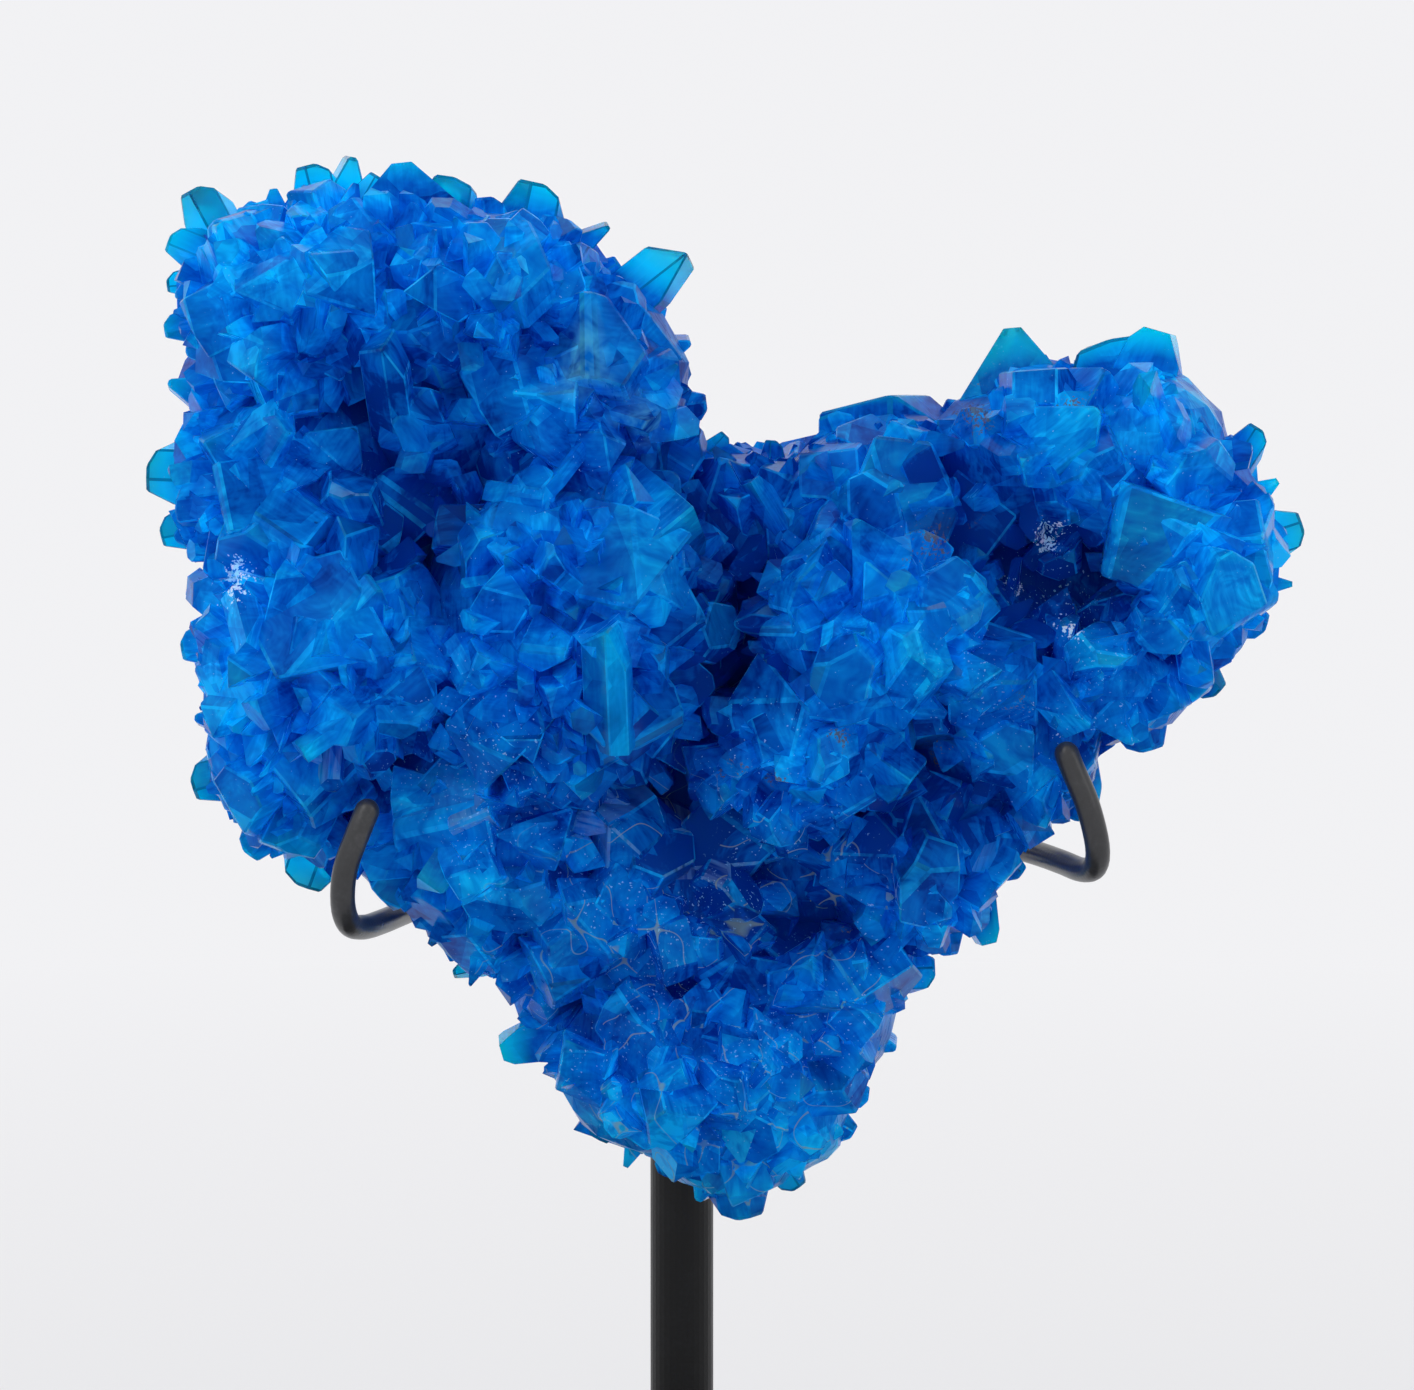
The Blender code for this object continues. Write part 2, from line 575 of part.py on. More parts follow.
def build_base(parts, helpers, material):
    bm = bmesh.new()
    bmesh.ops.create_cube(bm, size=1.0)
    bmesh.ops.scale(bm, verts=bm.verts, vec=(BASE_WIDTH * MM, BASE_DEPTH * MM, BASE_HEIGHT * MM))
    bmesh.ops.translate(bm, verts=bm.verts, vec=(0, 0, BASE_HEIGHT / 2 * MM))
    uprights = [e for e in bm.edges if abs(e.verts[0].co.z - e.verts[1].co.z) > BASE_HEIGHT / 2 * MM]
    bmesh.ops.bevel(bm, geom=uprights, offset=BASE_CORNER_RADIUS * MM, segments=5, profile=0.5,
                    affect="EDGES")
    rim = [e for e in bm.edges if e.verts[0].co.z > 0.5 * BASE_HEIGHT * MM
           and e.verts[1].co.z > 0.5 * BASE_HEIGHT * MM]
    bmesh.ops.bevel(bm, geom=rim, offset=BASE_EDGE_RADIUS * MM, segments=2, profile=0.5,
                    affect="EDGES")
    base = mesh_object("base", bm, parts, material)
    hole = bmesh.new()
    bmesh.ops.create_cone(hole, cap_ends=True, segments=32, radius1=(POST_DIAMETER / 2 + GAP) * MM,
                          radius2=(POST_DIAMETER / 2 + GAP) * MM, depth=POST_SOCKET_DEPTH * 2 * MM)
    bmesh.ops.translate(hole, verts=hole.verts, vec=(0, POST_BACK * MM, BASE_HEIGHT * MM))
    cutter = mesh_object("post_socket", hole, helpers)
    cutter.hide_render = True
    cutter.display_type = "WIRE"
    cut = base.modifiers.new("socket", "BOOLEAN")
    cut.operation = "DIFFERENCE"
    cut.object = cutter
    cut.solver = "EXACT"
    return base


def build():
    clear_scene()
    parts = make_collection("chalcanthite")
    helpers = make_collection("helpers")
    crystal_blue = make_material("chalcanthite blue", (0.003, 0.11, 0.56), 0.12, transmission=0.4)
    black_paint = make_material("satin black paint", (0.012, 0.013, 0.016), 0.42)
    build_cluster(parts, helpers, crystal_blue)
    build_post(parts, black_paint)
    build_wire("left_arm", LEFT_ROUTE, -1, parts, black_paint)
    build_wire("right_arm", RIGHT_ROUTE, 1, parts, black_paint)
    build_base(parts, helpers, black_paint)


build()
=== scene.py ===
# Chalcanthite cluster on a black wire stand: finish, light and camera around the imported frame.
# Lengths are millimetres; the heights of lumps, crystals and marks count from the cluster's lowest tip.
import json
import math
import random

import bmesh
import bpy
import numpy as np
from mathutils import Matrix, Quaternion, Vector
from mathutils.bvhtree import BVHTree
from mathutils.kdtree import KDTree

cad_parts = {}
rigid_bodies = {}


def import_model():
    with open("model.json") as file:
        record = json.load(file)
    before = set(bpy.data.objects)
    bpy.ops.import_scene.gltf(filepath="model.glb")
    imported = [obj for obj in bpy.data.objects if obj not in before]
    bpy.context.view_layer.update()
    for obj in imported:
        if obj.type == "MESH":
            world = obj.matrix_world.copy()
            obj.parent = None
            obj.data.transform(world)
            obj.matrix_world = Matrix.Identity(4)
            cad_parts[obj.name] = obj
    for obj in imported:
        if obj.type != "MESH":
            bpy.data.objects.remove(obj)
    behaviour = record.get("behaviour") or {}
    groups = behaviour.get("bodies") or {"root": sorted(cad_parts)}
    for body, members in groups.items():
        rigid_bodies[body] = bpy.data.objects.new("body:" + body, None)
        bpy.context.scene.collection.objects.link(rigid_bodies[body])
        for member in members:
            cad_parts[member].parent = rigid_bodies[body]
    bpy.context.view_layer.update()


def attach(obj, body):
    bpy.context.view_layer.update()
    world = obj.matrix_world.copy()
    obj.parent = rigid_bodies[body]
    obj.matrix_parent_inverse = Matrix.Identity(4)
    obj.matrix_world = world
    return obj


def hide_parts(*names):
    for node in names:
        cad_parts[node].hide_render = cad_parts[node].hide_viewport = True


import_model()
mm = 0.001


def clearScene():
    for thing in [thing for thing in bpy.data.objects if thing.type in {"CAMERA", "LIGHT"}]:
        bpy.data.objects.remove(thing)


def addObject(name, mesh):
    thing = bpy.data.objects.new(name, mesh)
    bpy.context.scene.collection.objects.link(thing)
    return thing


def meshFrom(name, bm):
    mesh = bpy.data.meshes.new(name)
    bm.to_mesh(mesh)
    bm.free()
    return mesh


class Value:
    # A socket that takes part in Python expressions
    def __init__(self, maker, socket):
        self.maker = maker
        self.socket = socket

    def maths(self, operation, first, second=0.0):
        return self.maker.value("ShaderNodeMath", 0, {"operation": operation}, {0: first, 1: second})

    def __add__(self, other):
        return self.maths("ADD", self, other)

    def __sub__(self, other):
        return self.maths("SUBTRACT", self, other)

    def __rsub__(self, other):
        return self.maths("SUBTRACT", other, self)

    def __mul__(self, other):
        return self.maths("MULTIPLY", self, other)

    def highest(self, other):
        return self.maths("MAXIMUM", self, other)

    def size(self):
        return self.maths("ABSOLUTE", self)

    def between(self, low, high):
        return self.maker.value("ShaderNodeMapRange", "Result", None, {
            "Value": self, "From Min": low, "From Max": high, "To Min": 0.0, "To Max": 1.0})

    __radd__ = __add__
    __rmul__ = __mul__


class Maker:
    # Adds nodes to one tree: a finish, the room or a way of building
    def __init__(self, tree):
        self.tree = tree

    def node(self, kind, settings=None, inputs=None):
        made = self.tree.nodes.new(kind)
        for name, value in (settings or {}).items():
            if name == "stops":
                stops = made.color_ramp.elements
                stops[0].position, stops[-1].position = value[0][0], value[-1][0]
                for place, colour in value[1:-1]:
                    stops.new(place)
                for stop, (place, colour) in zip(stops, value):
                    stop.color = (*colour, 1.0)
            else:
                setattr(made, name, value)
        for name, value in (inputs or {}).items():
            for part in value if isinstance(value, list) else [value]:
                part = part.socket if isinstance(part, Value) else part
                if isinstance(part, bpy.types.NodeSocket):
                    self.tree.links.new(part, made.inputs[name])
                else:
                    made.inputs[name].default_value = part
        return made

    def value(self, kind, output, settings=None, inputs=None):
        return Value(self, self.node(kind, settings, inputs).outputs[output])

    def attribute(self, name):
        return self.value("ShaderNodeAttribute", "Fac", {"attribute_name": name})

    def place(self):
        return self.value("ShaderNodeTexCoord", "Object")

    def vector(self, operation, first, second, output="Vector"):
        return self.value("ShaderNodeVectorMath", output, {"operation": operation}, {0: first, 1: second})

    def noise(self, where, size, detail=3.0, roughness=0.55, distortion=0.0, dimensions="3D"):
        return self.value("ShaderNodeTexNoise", "Fac", {"noise_dimensions": dimensions}, {
            "Vector": where, "Scale": 1 / size, "Detail": detail, "Roughness": roughness,
            "Distortion": distortion})

    def cells(self, where, size):
        return self.value("ShaderNodeTexVoronoi", "Color", {"voronoi_dimensions": "2D"}, {
            "Vector": where, "Scale": 1 / size})

    def ramp(self, value, stops):
        return self.value("ShaderNodeValToRGB", "Color", {"stops": stops}, {"Fac": value})

    def blended(self, share, first, second):
        return self.value("ShaderNodeMix", 2, {"data_type": "RGBA"}, {0: share, 6: first, 7: second})


def newFinish(name):
    material = bpy.data.materials.new(name)
    material.use_nodes = True
    material.node_tree.nodes.clear()
    return material, Maker(material.node_tree)


def buildTree(name, numbers):
    # An empty Geometry Nodes tree with named inputs, its maker and its input node
    tree = bpy.data.node_groups.new(name, "GeometryNodeTree")
    tree.interface.new_socket("Geometry", in_out="INPUT", socket_type="NodeSocketGeometry")
    for label, kind in numbers.items():
        tree.interface.new_socket(label, in_out="INPUT", socket_type="NodeSocket" + kind)
    tree.interface.new_socket("Geometry", in_out="OUTPUT", socket_type="NodeSocketGeometry")
    maker = Maker(tree)
    return maker, maker.node("NodeGroupInput").outputs


def endTree(maker, geometry, material):
    real = maker.node("GeometryNodeRealizeInstances", None, {"Geometry": geometry})
    painted = maker.node("GeometryNodeSetMaterial", None, {"Geometry": real.outputs[0], "Material": material})
    maker.node("NodeGroupOutput", None, {"Geometry": painted.outputs[0]})
    return maker.tree


def meshFromTree(thing, tree, numbers):
    # Runs the tree on the object once and keeps the result as its plain mesh
    modifier = thing.modifiers.new("build", "NODES")
    modifier.node_group = tree
    for item in tree.interface.items_tree:
        if item.name in numbers:
            modifier[item.identifier] = numbers[item.name]
    mesh = bpy.data.meshes.new_from_object(thing.evaluated_get(bpy.context.evaluated_depsgraph_get()))
    thing.modifiers.clear()
    thing.data = mesh
    return mesh


# The stand's own sizes
stand = {
    "tipHeight": 48.0,  # lowest tip of the cluster above the floor
    "plate": 8.0,
    "postDiameter": 6.5,
    "postBack": 22.0,
    "postTop": 110.0,
    "clearance": 0.35,  # between any crystal and the stand
}

# The arms; their knots are x, y and height above the floor, from the post to the tip
wires = {
    "diameter": 2.45,
    "gap": 0.3,  # between a wire's end and the post, under the braze
    "rise": 0.3,  # of that end over the first knot
    "sides": 20,
    "step": 0.8,
    "coarse": 2.5,  # step of the plainer path that the crystals keep clear of
    "tipSteps": 6,
    "tipShare": 0.02,  # of the thickness that is left at the very tip
    "left": [
        (-9.5, 21, 80.5), (-16, 19.5, 79.5), (-21.5, 17, 79), (-25, 13, 78.6), (-26.8, 8, 78.4),
        (-28.2, 2, 78.3), (-29.8, -6, 78.3), (-31.2, -13, 78.5), (-32.4, -17.6, 79.3),
        (-32.9, -20.2, 81.6), (-32.6, -21, 85), (-31.4, -20.9, 88.4), (-30.5, -20.4, 90.6),
    ],
    "right": [
        (9.5, 21, 87), (17, 19.5, 86.2), (24, 17.6, 85.6), (29.5, 14.6, 85), (33, 9.6, 84.6),
        (35.8, 3.4, 84.3), (38, -3, 84), (39.7, -9, 83.8), (40.8, -12.8, 84.5),
        (40.9, -14.8, 86.8), (39.9, -15.2, 90.8), (38.4, -14.6, 94.4), (37.9, -14.2, 95.7),
    ],
    "braze": {"seed": 7, "size": (1.5, 1.9, 1.8), "ridges": 5, "swell": 0.06, "rough": 0.02, "inset": 0.1},
}


def smoothRoute(side, step):
    # The arm's path through its knots, from the post out; side is -1 for the left arm and 1 for the right
    route = wires["left" if side < 0 else "right"]
    gap = stand["postDiameter"] / 2 + wires["gap"]
    start = Vector((side * gap, stand["postBack"], route[0][2] + wires["rise"]))
    knots = [start] + [Vector(p) for p in route]
    padded = [knots[0] * 2 - knots[1]] + knots + [knots[-1] * 2 - knots[-2]]
    points = []
    for p0, p1, p2, p3 in zip(padded, padded[1:], padded[2:], padded[3:]):
        steps = max(1, round((p2 - p1).length / step))
        for i in range(steps):
            t = i / steps
            points.append(0.5 * (2 * p1 + (p2 - p0) * t + (2 * p0 - 5 * p1 + 4 * p2 - p3) * t ** 2
                                 + (3 * p1 - 3 * p2 + p3 - p0) * t ** 3))
    points.append(knots[-1])
    return points


def standLines():
    # The post and the arms as straight pieces with a radius, for room between them and the crystals
    post = [Vector((0, stand["postBack"], height)) for height in (stand["plate"], stand["postTop"])]
    runs = [(post, stand["postDiameter"] / 2)]
    runs += [(smoothRoute(side, wires["coarse"]), wires["diameter"] / 2) for side in (-1, 1)]
    return [(a, b, radius) for points, radius in runs for a, b in zip(points, points[1:])]


def segmentDistance(point, a, b):
    along = b - a
    t = max(0.0, min(1.0, (point - a).dot(along) / along.length_squared))
    return (point - a - along * t).length


def wireTree(material):
    # A round rod along a path, with each point's own share of the thickness
    maker, given = buildTree("bend wire", {"Thickness": "Float", "Sides": "Int"})
    path = maker.node("GeometryNodeMeshToCurve", None, {"Mesh": given["Geometry"]})
    share = maker.node("GeometryNodeInputNamedAttribute", {"data_type": "FLOAT"}, {"Name": "share"})
    half = maker.node("ShaderNodeMath", {"operation": "MULTIPLY"}, {0: given["Thickness"], 1: 0.5})
    ring = maker.node("GeometryNodeCurvePrimitiveCircle", None,
                      {"Radius": half.outputs[0], "Resolution": given["Sides"]})
    rod = maker.node("GeometryNodeCurveToMesh", None, {
        "Curve": path.outputs["Curve"], "Profile Curve": ring.outputs["Curve"],
        "Scale": share.outputs["Attribute"], "Fill Caps": True})
    smooth = maker.node("GeometryNodeSetShadeSmooth", None, {"Geometry": rod.outputs["Mesh"]})
    return endTree(maker, smooth.outputs["Geometry"], material)


def addBraze(arm, start, side):
    # The lump of braze where the wire meets the post
    braze = wires["braze"]
    bm = bmesh.new()
    bm.from_mesh(arm.data)
    rng = random.Random(braze["seed"] + side)
    made = bmesh.ops.create_uvsphere(bm, u_segments=20, v_segments=12, radius=1.0)["verts"]
    for vert in made:
        swell = 1 + braze["swell"] * math.sin(braze["ridges"] * math.atan2(vert.co.z, vert.co.y) + side)
        swell += rng.uniform(-braze["rough"], braze["rough"])
        vert.co *= Vector((1, swell, swell))
        vert.co = vert.co * Vector(braze["size"]) * mm + start - Vector((braze["inset"] * side * mm, 0, 0))
    for face in bm.faces:
        face.smooth = True
    bmesh.ops.recalc_face_normals(bm, faces=bm.faces[:])
    bm.to_mesh(arm.data)
    bm.free()


def buildArm(name, node, side, tree):
    points = [p * mm for p in smoothRoute(side, wires["step"])]
    nose = (points[-1] - points[-2]).normalized()
    tip = points[-1]
    half = wires["diameter"] / 2 * mm
    shares = [1.0] * len(points)
    for step in range(1, wires["tipSteps"] + 1):  # the rounded tip
        a = step / wires["tipSteps"] * math.pi / 2
        points.append(tip + nose * half * math.sin(a))
        shares.append(max(wires["tipShare"], math.cos(a)))
    path = bpy.data.meshes.new(name)
    path.from_pydata(points, [(i, i + 1) for i in range(len(points) - 1)], [])
    path.attributes.new("share", "FLOAT", "POINT").data.foreach_set("value", shares)
    arm = addObject(name, path)
    meshFromTree(arm, tree, {"Thickness": 2 * half, "Sides": wires["sides"]})
    addBraze(arm, points[0], side)
    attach(arm, "root")
    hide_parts(node)
    print(name + ":", len(arm.data.polygons), "faces")


enamels = {
    "post enamel": {
        "blacks": [(0.3, (0.003, 0.0031, 0.0037)), (0.55, (0.005, 0.0052, 0.006)), (0.75, (0.01, 0.0105, 0.012))],
        "roughness": 0.3, "shine": 0.22},
    # The wires' copy of the black enamel has lighter blacks: a painted sheen of the room light that the round
    # wires reflect, over a glossier coat
    "wire enamel and sheen": {
        "blacks": [(0.3, (0.016, 0.0165, 0.018)), (0.55, (0.028, 0.0288, 0.032)), (0.75, (0.055, 0.056, 0.06))],
        "roughness": 0.22, "shine": 0.5},
}


def paintMaterial(name):
    # Satin black enamel on steel, a little orange peel and dust
    look = enamels[name]
    material, maker = newFinish(name)
    cloud = maker.noise(maker.place(), 5.5 * mm, 4.0, 0.6)
    grains = maker.noise(maker.place(), 0.4 * mm, 2.0, 0.5)
    colour = maker.ramp(cloud * 0.7 + grains * 0.3, look["blacks"])
    bump = maker.node("ShaderNodeBump", None, {"Height": grains, "Strength": 0.12, "Distance": 0.2 * mm})
    surface = maker.node("ShaderNodeBsdfPrincipled", None, {
        "Base Color": colour, "Roughness": cloud * 0.16 + look["roughness"], "IOR": 1.5,
        "Specular IOR Level": look["shine"], "Normal": bump.outputs[0]})
    maker.node("ShaderNodeOutputMaterial", None, {"Surface": surface.outputs[0]})
    return material


def paintStand(enamel):
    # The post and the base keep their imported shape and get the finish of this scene
    for node in ("post", "base"):
        mesh = bpy.data.objects[node].data
        mesh.materials.clear()
        mesh.materials.append(enamel)
        print("painted:", node)


# Lumps of the crystal mass: centre (x, y, height above the lowest tip), half sizes, how coarse its
# crystals are
lumps = [
    ((-36, -2, 91), (12, 15, 10), 0.95),
    ((-20, -3, 92), (14, 15, 9), 0.95),
    ((-11, -3, 83), (12.5, 14, 11.5), 1.0),
    ((-35.5, -1, 74), (13, 14, 14), 1.0),
    ((-33, -4, 57), (14.8, 18, 14), 0.9),
    ((-12, -7, 60), (16, 18, 17), 0.95),
    ((-37, -3, 46), (8.5, 12, 8), 1.0),
    ((-20, -4, 42), (15, 14, 13), 1.0),
    ((-4, -2, 32), (15, 12, 13), 1.05),
    ((0.5, -2, 17), (14, 12, 11.5), 0.95),
    ((12, -2, 21), (10.3, 10, 9), 0.95),
    ((10.5, -1.5, 11), (6.5, 8, 7), 0.9),
    ((5, -1.5, 8), (8, 8.5, 6), 0.9),
    ((22, -3, 36), (9.5, 11, 9), 1.05),
    ((8, 0, 69), (12, 10, 7.5), 0.9),
    ((20, -2, 72), (11, 12, 8.5), 1.0),
    ((35, -2, 76), (12, 13, 8.5), 1.05),
    ((46, -2, 77), (9, 12, 9), 1.1),
    ((50, -4, 66), (8, 13, 10), 0.95),
    ((42.5, -3, 55), (9.5, 12, 7), 0.95),
    ((30.5, -2, 54), (11.5, 12, 14), 1.0),
    ((19, -7, 60), (12, 16, 11), 1.0),
    ((12, -6, 48), (11, 14, 9), 0.9),
    ((2, 1, 52), (12, 11, 20), 0.9),
    ((39, 0, 64), (10, 8, 9), 0.95),
    ((35, -4, 49.5), (7.5, 8, 10), 0.95),
    ((12, -1, 37), (9, 9, 9), 0.95),
    ((-19, -3, 31), (6.5, 8, 6), 0.95),
    ((8, 3, 52), (25, 11, 24), 1.0),
    ((-24, 3, 66), (19, 14, 26), 1.0),
    ((30, 3, 62), (23, 12, 16), 1.0),
    ((-23.5, -5, 79.5), (9, 10, 8), 1.0),
    ((-28, -5, 93), (7.5, 11, 8), 1.0),
]

# Crystals of their own shape, round the outline and then on the face: tip (x, y, height), angle in
# the plane of the face, lean towards the viewer, length that shows, width, thickness, form, and
# how clear it is, from 0 to 1
loneCrystals = [
    ((-48.5, 2, 103), 118, 0, 7, 5.5, 5, "block", 0.9),
    ((-40.5, 0, 103), 95, 5, 5, 5, 5, "pyramid", 0.6),
    ((-37, 3, 105.4), 104, 0, 7, 5.2, 4, "block", 0.95),
    ((-33, 3, 106.2), 80, 0, 8, 5.6, 4, "wedge", 0.95),
    ((-30, 1, 104.2), 60, 0, 5, 3.6, 3.6, "block", 0.7),
    ((-27.6, -3, 105.6), 96, 0, 7, 13, 8, "pyramid", 0.3),
    ((-22.8, 4, 104.2), 82, 0, 6, 5.6, 3, "tablet", 0.9),
    ((-19.2, 0, 102.2), 95, 0, 6, 4.4, 4, "block", 0.4),
    ((-14.2, 1, 103.6), 78, 0, 8, 6.8, 4, "block", 0.95),
    ((-7.2, 0, 99.4), 32, 0, 7, 3.4, 3, "wedge", 0.7),
    ((-6, 2, 95.4), 35, 0, 5, 4, 3.6, "block", 0.6),
    ((0.6, 0, 96.6), 38, 0, 12, 6.2, 4.6, "prism", 1.0),
    ((0.9, -1, 88), 20, 0, 5, 4, 4, "wedge", 0.4),
    ((2.6, 0, 81.5), 8, 0, 5, 4, 4, "block", 0.4),
    ((4.6, 1, 78.4), 48, 0, 3.5, 2.6, 2.4, "block", 0.8),
    ((9.2, 0, 78), 88, 0, 3.5, 2.8, 2.6, "block", 0.8),
    ((15, -1, 80.8), 112, 0, 6, 5, 4, "block", 0.4),
    ((20.8, -1, 82.6), 91, 0, 6, 14.5, 7.5, "prism", 0.6),
    ((27.6, 1, 82), 84, 0, 5, 4, 4, "block", 0.5),
    ((33, -1, 89.2), 95, 0, 9, 11.5, 8, "pyramid", 0.85),
    ((42.2, 0, 88), 112, 0, 8, 10, 6.5, "tablet", 0.85),
    ((47.6, -1, 88.9), 74, 0, 9, 7.6, 6, "tongue", 0.9),
    ((53.5, -1, 80), 52, 0, 5, 4, 4, "wedge", 0.7),
    ((57.6, 0, 79.2), 58, 0, 5, 3.8, 3.6, "block", 0.7),
    ((59.4, -2, 74), 32, 0, 5, 4.4, 4, "pyramid", 0.8),
    ((62.2, 3, 69.3), 18, 0, 6, 5.2, 4, "block", 0.95),
    ((60.9, -2, 63.7), 0, 0, 5, 3.4, 3.4, "pyramid", 0.6),
    ((58.3, -1, 59.5), -18, 0, 5, 4.4, 4, "block", 0.5),
    ((53.6, 0, 52.8), -45, 0, 5, 4.4, 4, "block", 0.75),
    ((46.6, 0, 47), -75, 0, 6, 6, 4.4, "block", 0.4),
    ((41.4, 1, 46), -85, 0, 5, 5, 4, "wedge", 0.4),
    ((40.2, 3, 39.8), -80, 0, 7, 5.4, 4.4, "block", 0.4),
    ((35.6, 6, 37), -8, 0, 4.5, 3.2, 3, "block", 1.0),
    ((34, 1, 34.4), -38, 0, 5, 3.6, 3.6, "block", 0.4),
    ((30.6, 0, 27.6), -76, 0, 8, 4.2, 3.6, "tongue", 0.7),
    ((26.6, 1, 26.4), -86, 0, 6, 4.2, 4, "block", 0.4),
    ((25.4, -1, 25), 2, 0, 5, 4.6, 4, "block", 0.6),
    ((21.6, 0, 17.4), -18, 0, 5, 4.2, 4, "wedge", 0.4),
    ((18.8, 0, 12.2), -8, 0, 4, 3.4, 3.2, "block", 0.4),
    ((17.2, 0, 8.4), -32, 0, 4.5, 3.6, 3.4, "block", 0.4),
    ((11.6, 0, 3), -58, 0, 5, 4, 4, "block", 0.8),
    ((6.4, 0, 0), -78, 0, 7, 6.6, 4.6, "block", 0.4),
    ((2, -1, 1.8), -112, 0, 5, 5, 4, "wedge", 0.4),
    ((-2, 0, 4.4), -118, 0, 4, 3.2, 3, "block", 0.4),
    ((-5.6, 0, 5), -112, 0, 4.5, 3.4, 3, "pyramid", 0.4),
    ((-8.6, 1, 8), -120, 0, 9, 5, 4, "block", 0.85),
    ((-18, -2, 17.2), 196, 0, 5.5, 4.6, 3.4, "tongue", 0.6),
    ((-18, 0, 23.4), 212, 0, 5, 3.8, 3.6, "block", 0.4),
    ((-23, 6, 24.2), 192, 0, 6, 2.6, 5, "block", 0.95),
    ((-25.2, 0, 27.4), 232, 0, 4.5, 3.6, 3.4, "pyramid", 0.4),
    ((-31.6, 1, 34.2), 238, 0, 4, 3.6, 3.4, "block", 0.4),
    ((-38, 4, 33), 250, 0, 6, 6.4, 4, "block", 0.9),
    ((-43.4, 1, 36.6), 232, 0, 5, 4.6, 4, "block", 0.4),
    ((-48.8, 0, 43.6), 196, 0, 7, 5.6, 5, "block", 0.7),
    ((-48.4, -2, 50.2), 176, 0, 5, 4.6, 4, "wedge", 0.4),
    ((-49.8, -1, 57.4), 188, 0, 5, 4.6, 4, "block", 0.5),
    ((-49.4, 0, 63), 172, 0, 5, 5.6, 4, "pyramid", 0.4),
    ((-52, 2, 68.6), 192, 0, 5.5, 4.6, 3.6, "block", 0.7),
    ((-53.2, 0, 74.8), 178, 0, 7, 6.6, 4.4, "block", 1.0),
    ((-51, -1, 83.6), 160, 0, 5, 4.4, 4, "wedge", 0.4),
    ((-51.4, 0, 89.2), 186, 0, 5, 3.6, 3.4, "block", 0.5),
    ((-51.2, 1, 93.6), 184, 0, 5, 3.2, 3, "block", 0.8),
    ((-50.8, -1, 98), 158, 0, 5, 4.4, 4, "block", 0.6),
    ((-29, -21, 89), 96, 42, 9, 5, 4.4, "prism", 0.05),
    ((-33, -18.5, 75), 110, 50, 6, 6, 5, "block", 0.05),
    ((-7.2, -28, 61.5), 92, 24, 9, 5, 4.4, "prism", 0.25),
    ((17, -24, 71), 120, 35, 7, 7, 5, "pyramid", 0.1),
    ((24, -26, 60), 60, 55, 6, 7.5, 6, "block", 0.15),
    ((12, -22, 47), 200, 45, 6, 6.5, 5, "block", 0.1),
    ((50, -19, 66), 60, 45, 6, 6.5, 5, "block", 0.15),
]

# Each form is a skewed block, root at z 0 and tip at z 1, cut by planes (point, outward direction)
crystalForms = {
    "block": [
        ((0.52, 0.0, 0.5), (1.0, 0.75, 0.0)), ((-0.5, 0.0, 0.5), (-1.0, -0.8, 0.0)),
        ((0.1, 0.0, 0.9), (0.34, 0.22, 1.0)), ((-0.28, 0.0, 0.93), (-0.8, 0.3, 1.0)),
    ],
    "prism": [
        ((0.46, 0.0, 0.5), (1.0, 0.9, 0.0)), ((-0.46, 0.0, 0.5), (-1.0, -0.9, 0.0)),
        ((0.0, 0.0, 0.95), (-0.22, 0.12, 1.0)), ((0.3, 0.0, 0.9), (0.9, -0.3, 1.0)),
    ],
    "wedge": [
        ((0.5, 0.0, 0.5), (1.0, 0.8, 0.0)),
        ((0.14, 0.0, 0.92), (0.62, 0.1, 0.6)), ((-0.14, 0.0, 0.92), (-0.75, -0.1, 0.6)),
    ],
    "tablet": [
        ((0.46, 0.0, 0.5), (1.0, 0.5, 0.0)),
        ((0.0, 0.0, 0.96), (0.2, 0.1, 1.0)), ((-0.3, 0.0, 0.9), (-0.9, 0.2, 0.9)),
    ],
    "pyramid": [
        ((0.08, 0.0, 0.96), (0.8, 0.35, 0.5)), ((-0.1, 0.0, 0.94), (-0.85, 0.3, 0.55)),
        ((0.0, -0.1, 0.92), (0.1, -0.9, 0.55)), ((0.0, 0.16, 0.9), (-0.1, 0.9, 0.6)),
    ],
    "slant": [
        ((0.0, 0.0, 0.84), (0.75, 0.3, 1.0)), ((0.44, 0.0, 0.5), (1.0, 0.6, 0.0)),
    ],
    "chisel": [
        ((0.06, 0.0, 0.96), (1.0, 0.15, 0.75)), ((-0.06, 0.0, 0.96), (-0.7, 0.2, 0.8)),
    ],
    "spear": [
        ((0.08, 0.0, 0.94), (1.0, 0.5, 0.6)), ((-0.12, 0.0, 0.94), (-1.0, 0.5, 0.7)),
        ((0.0, -0.1, 0.93), (0.1, -1.0, 0.8)),
    ],
    "tongue": [
        ((0.42, 0.0, 0.78), (1.0, 0.1, 0.35)), ((0.26, 0.0, 0.93), (0.75, -0.1, 0.8)),
        ((-0.24, 0.0, 0.94), (-0.6, 0.1, 0.9)), ((-0.42, 0.0, 0.8), (-1.0, 0.0, 0.4)),
    ],
}
formNames = [form + worn for worn in ("", "_worn") for form in crystalForms]

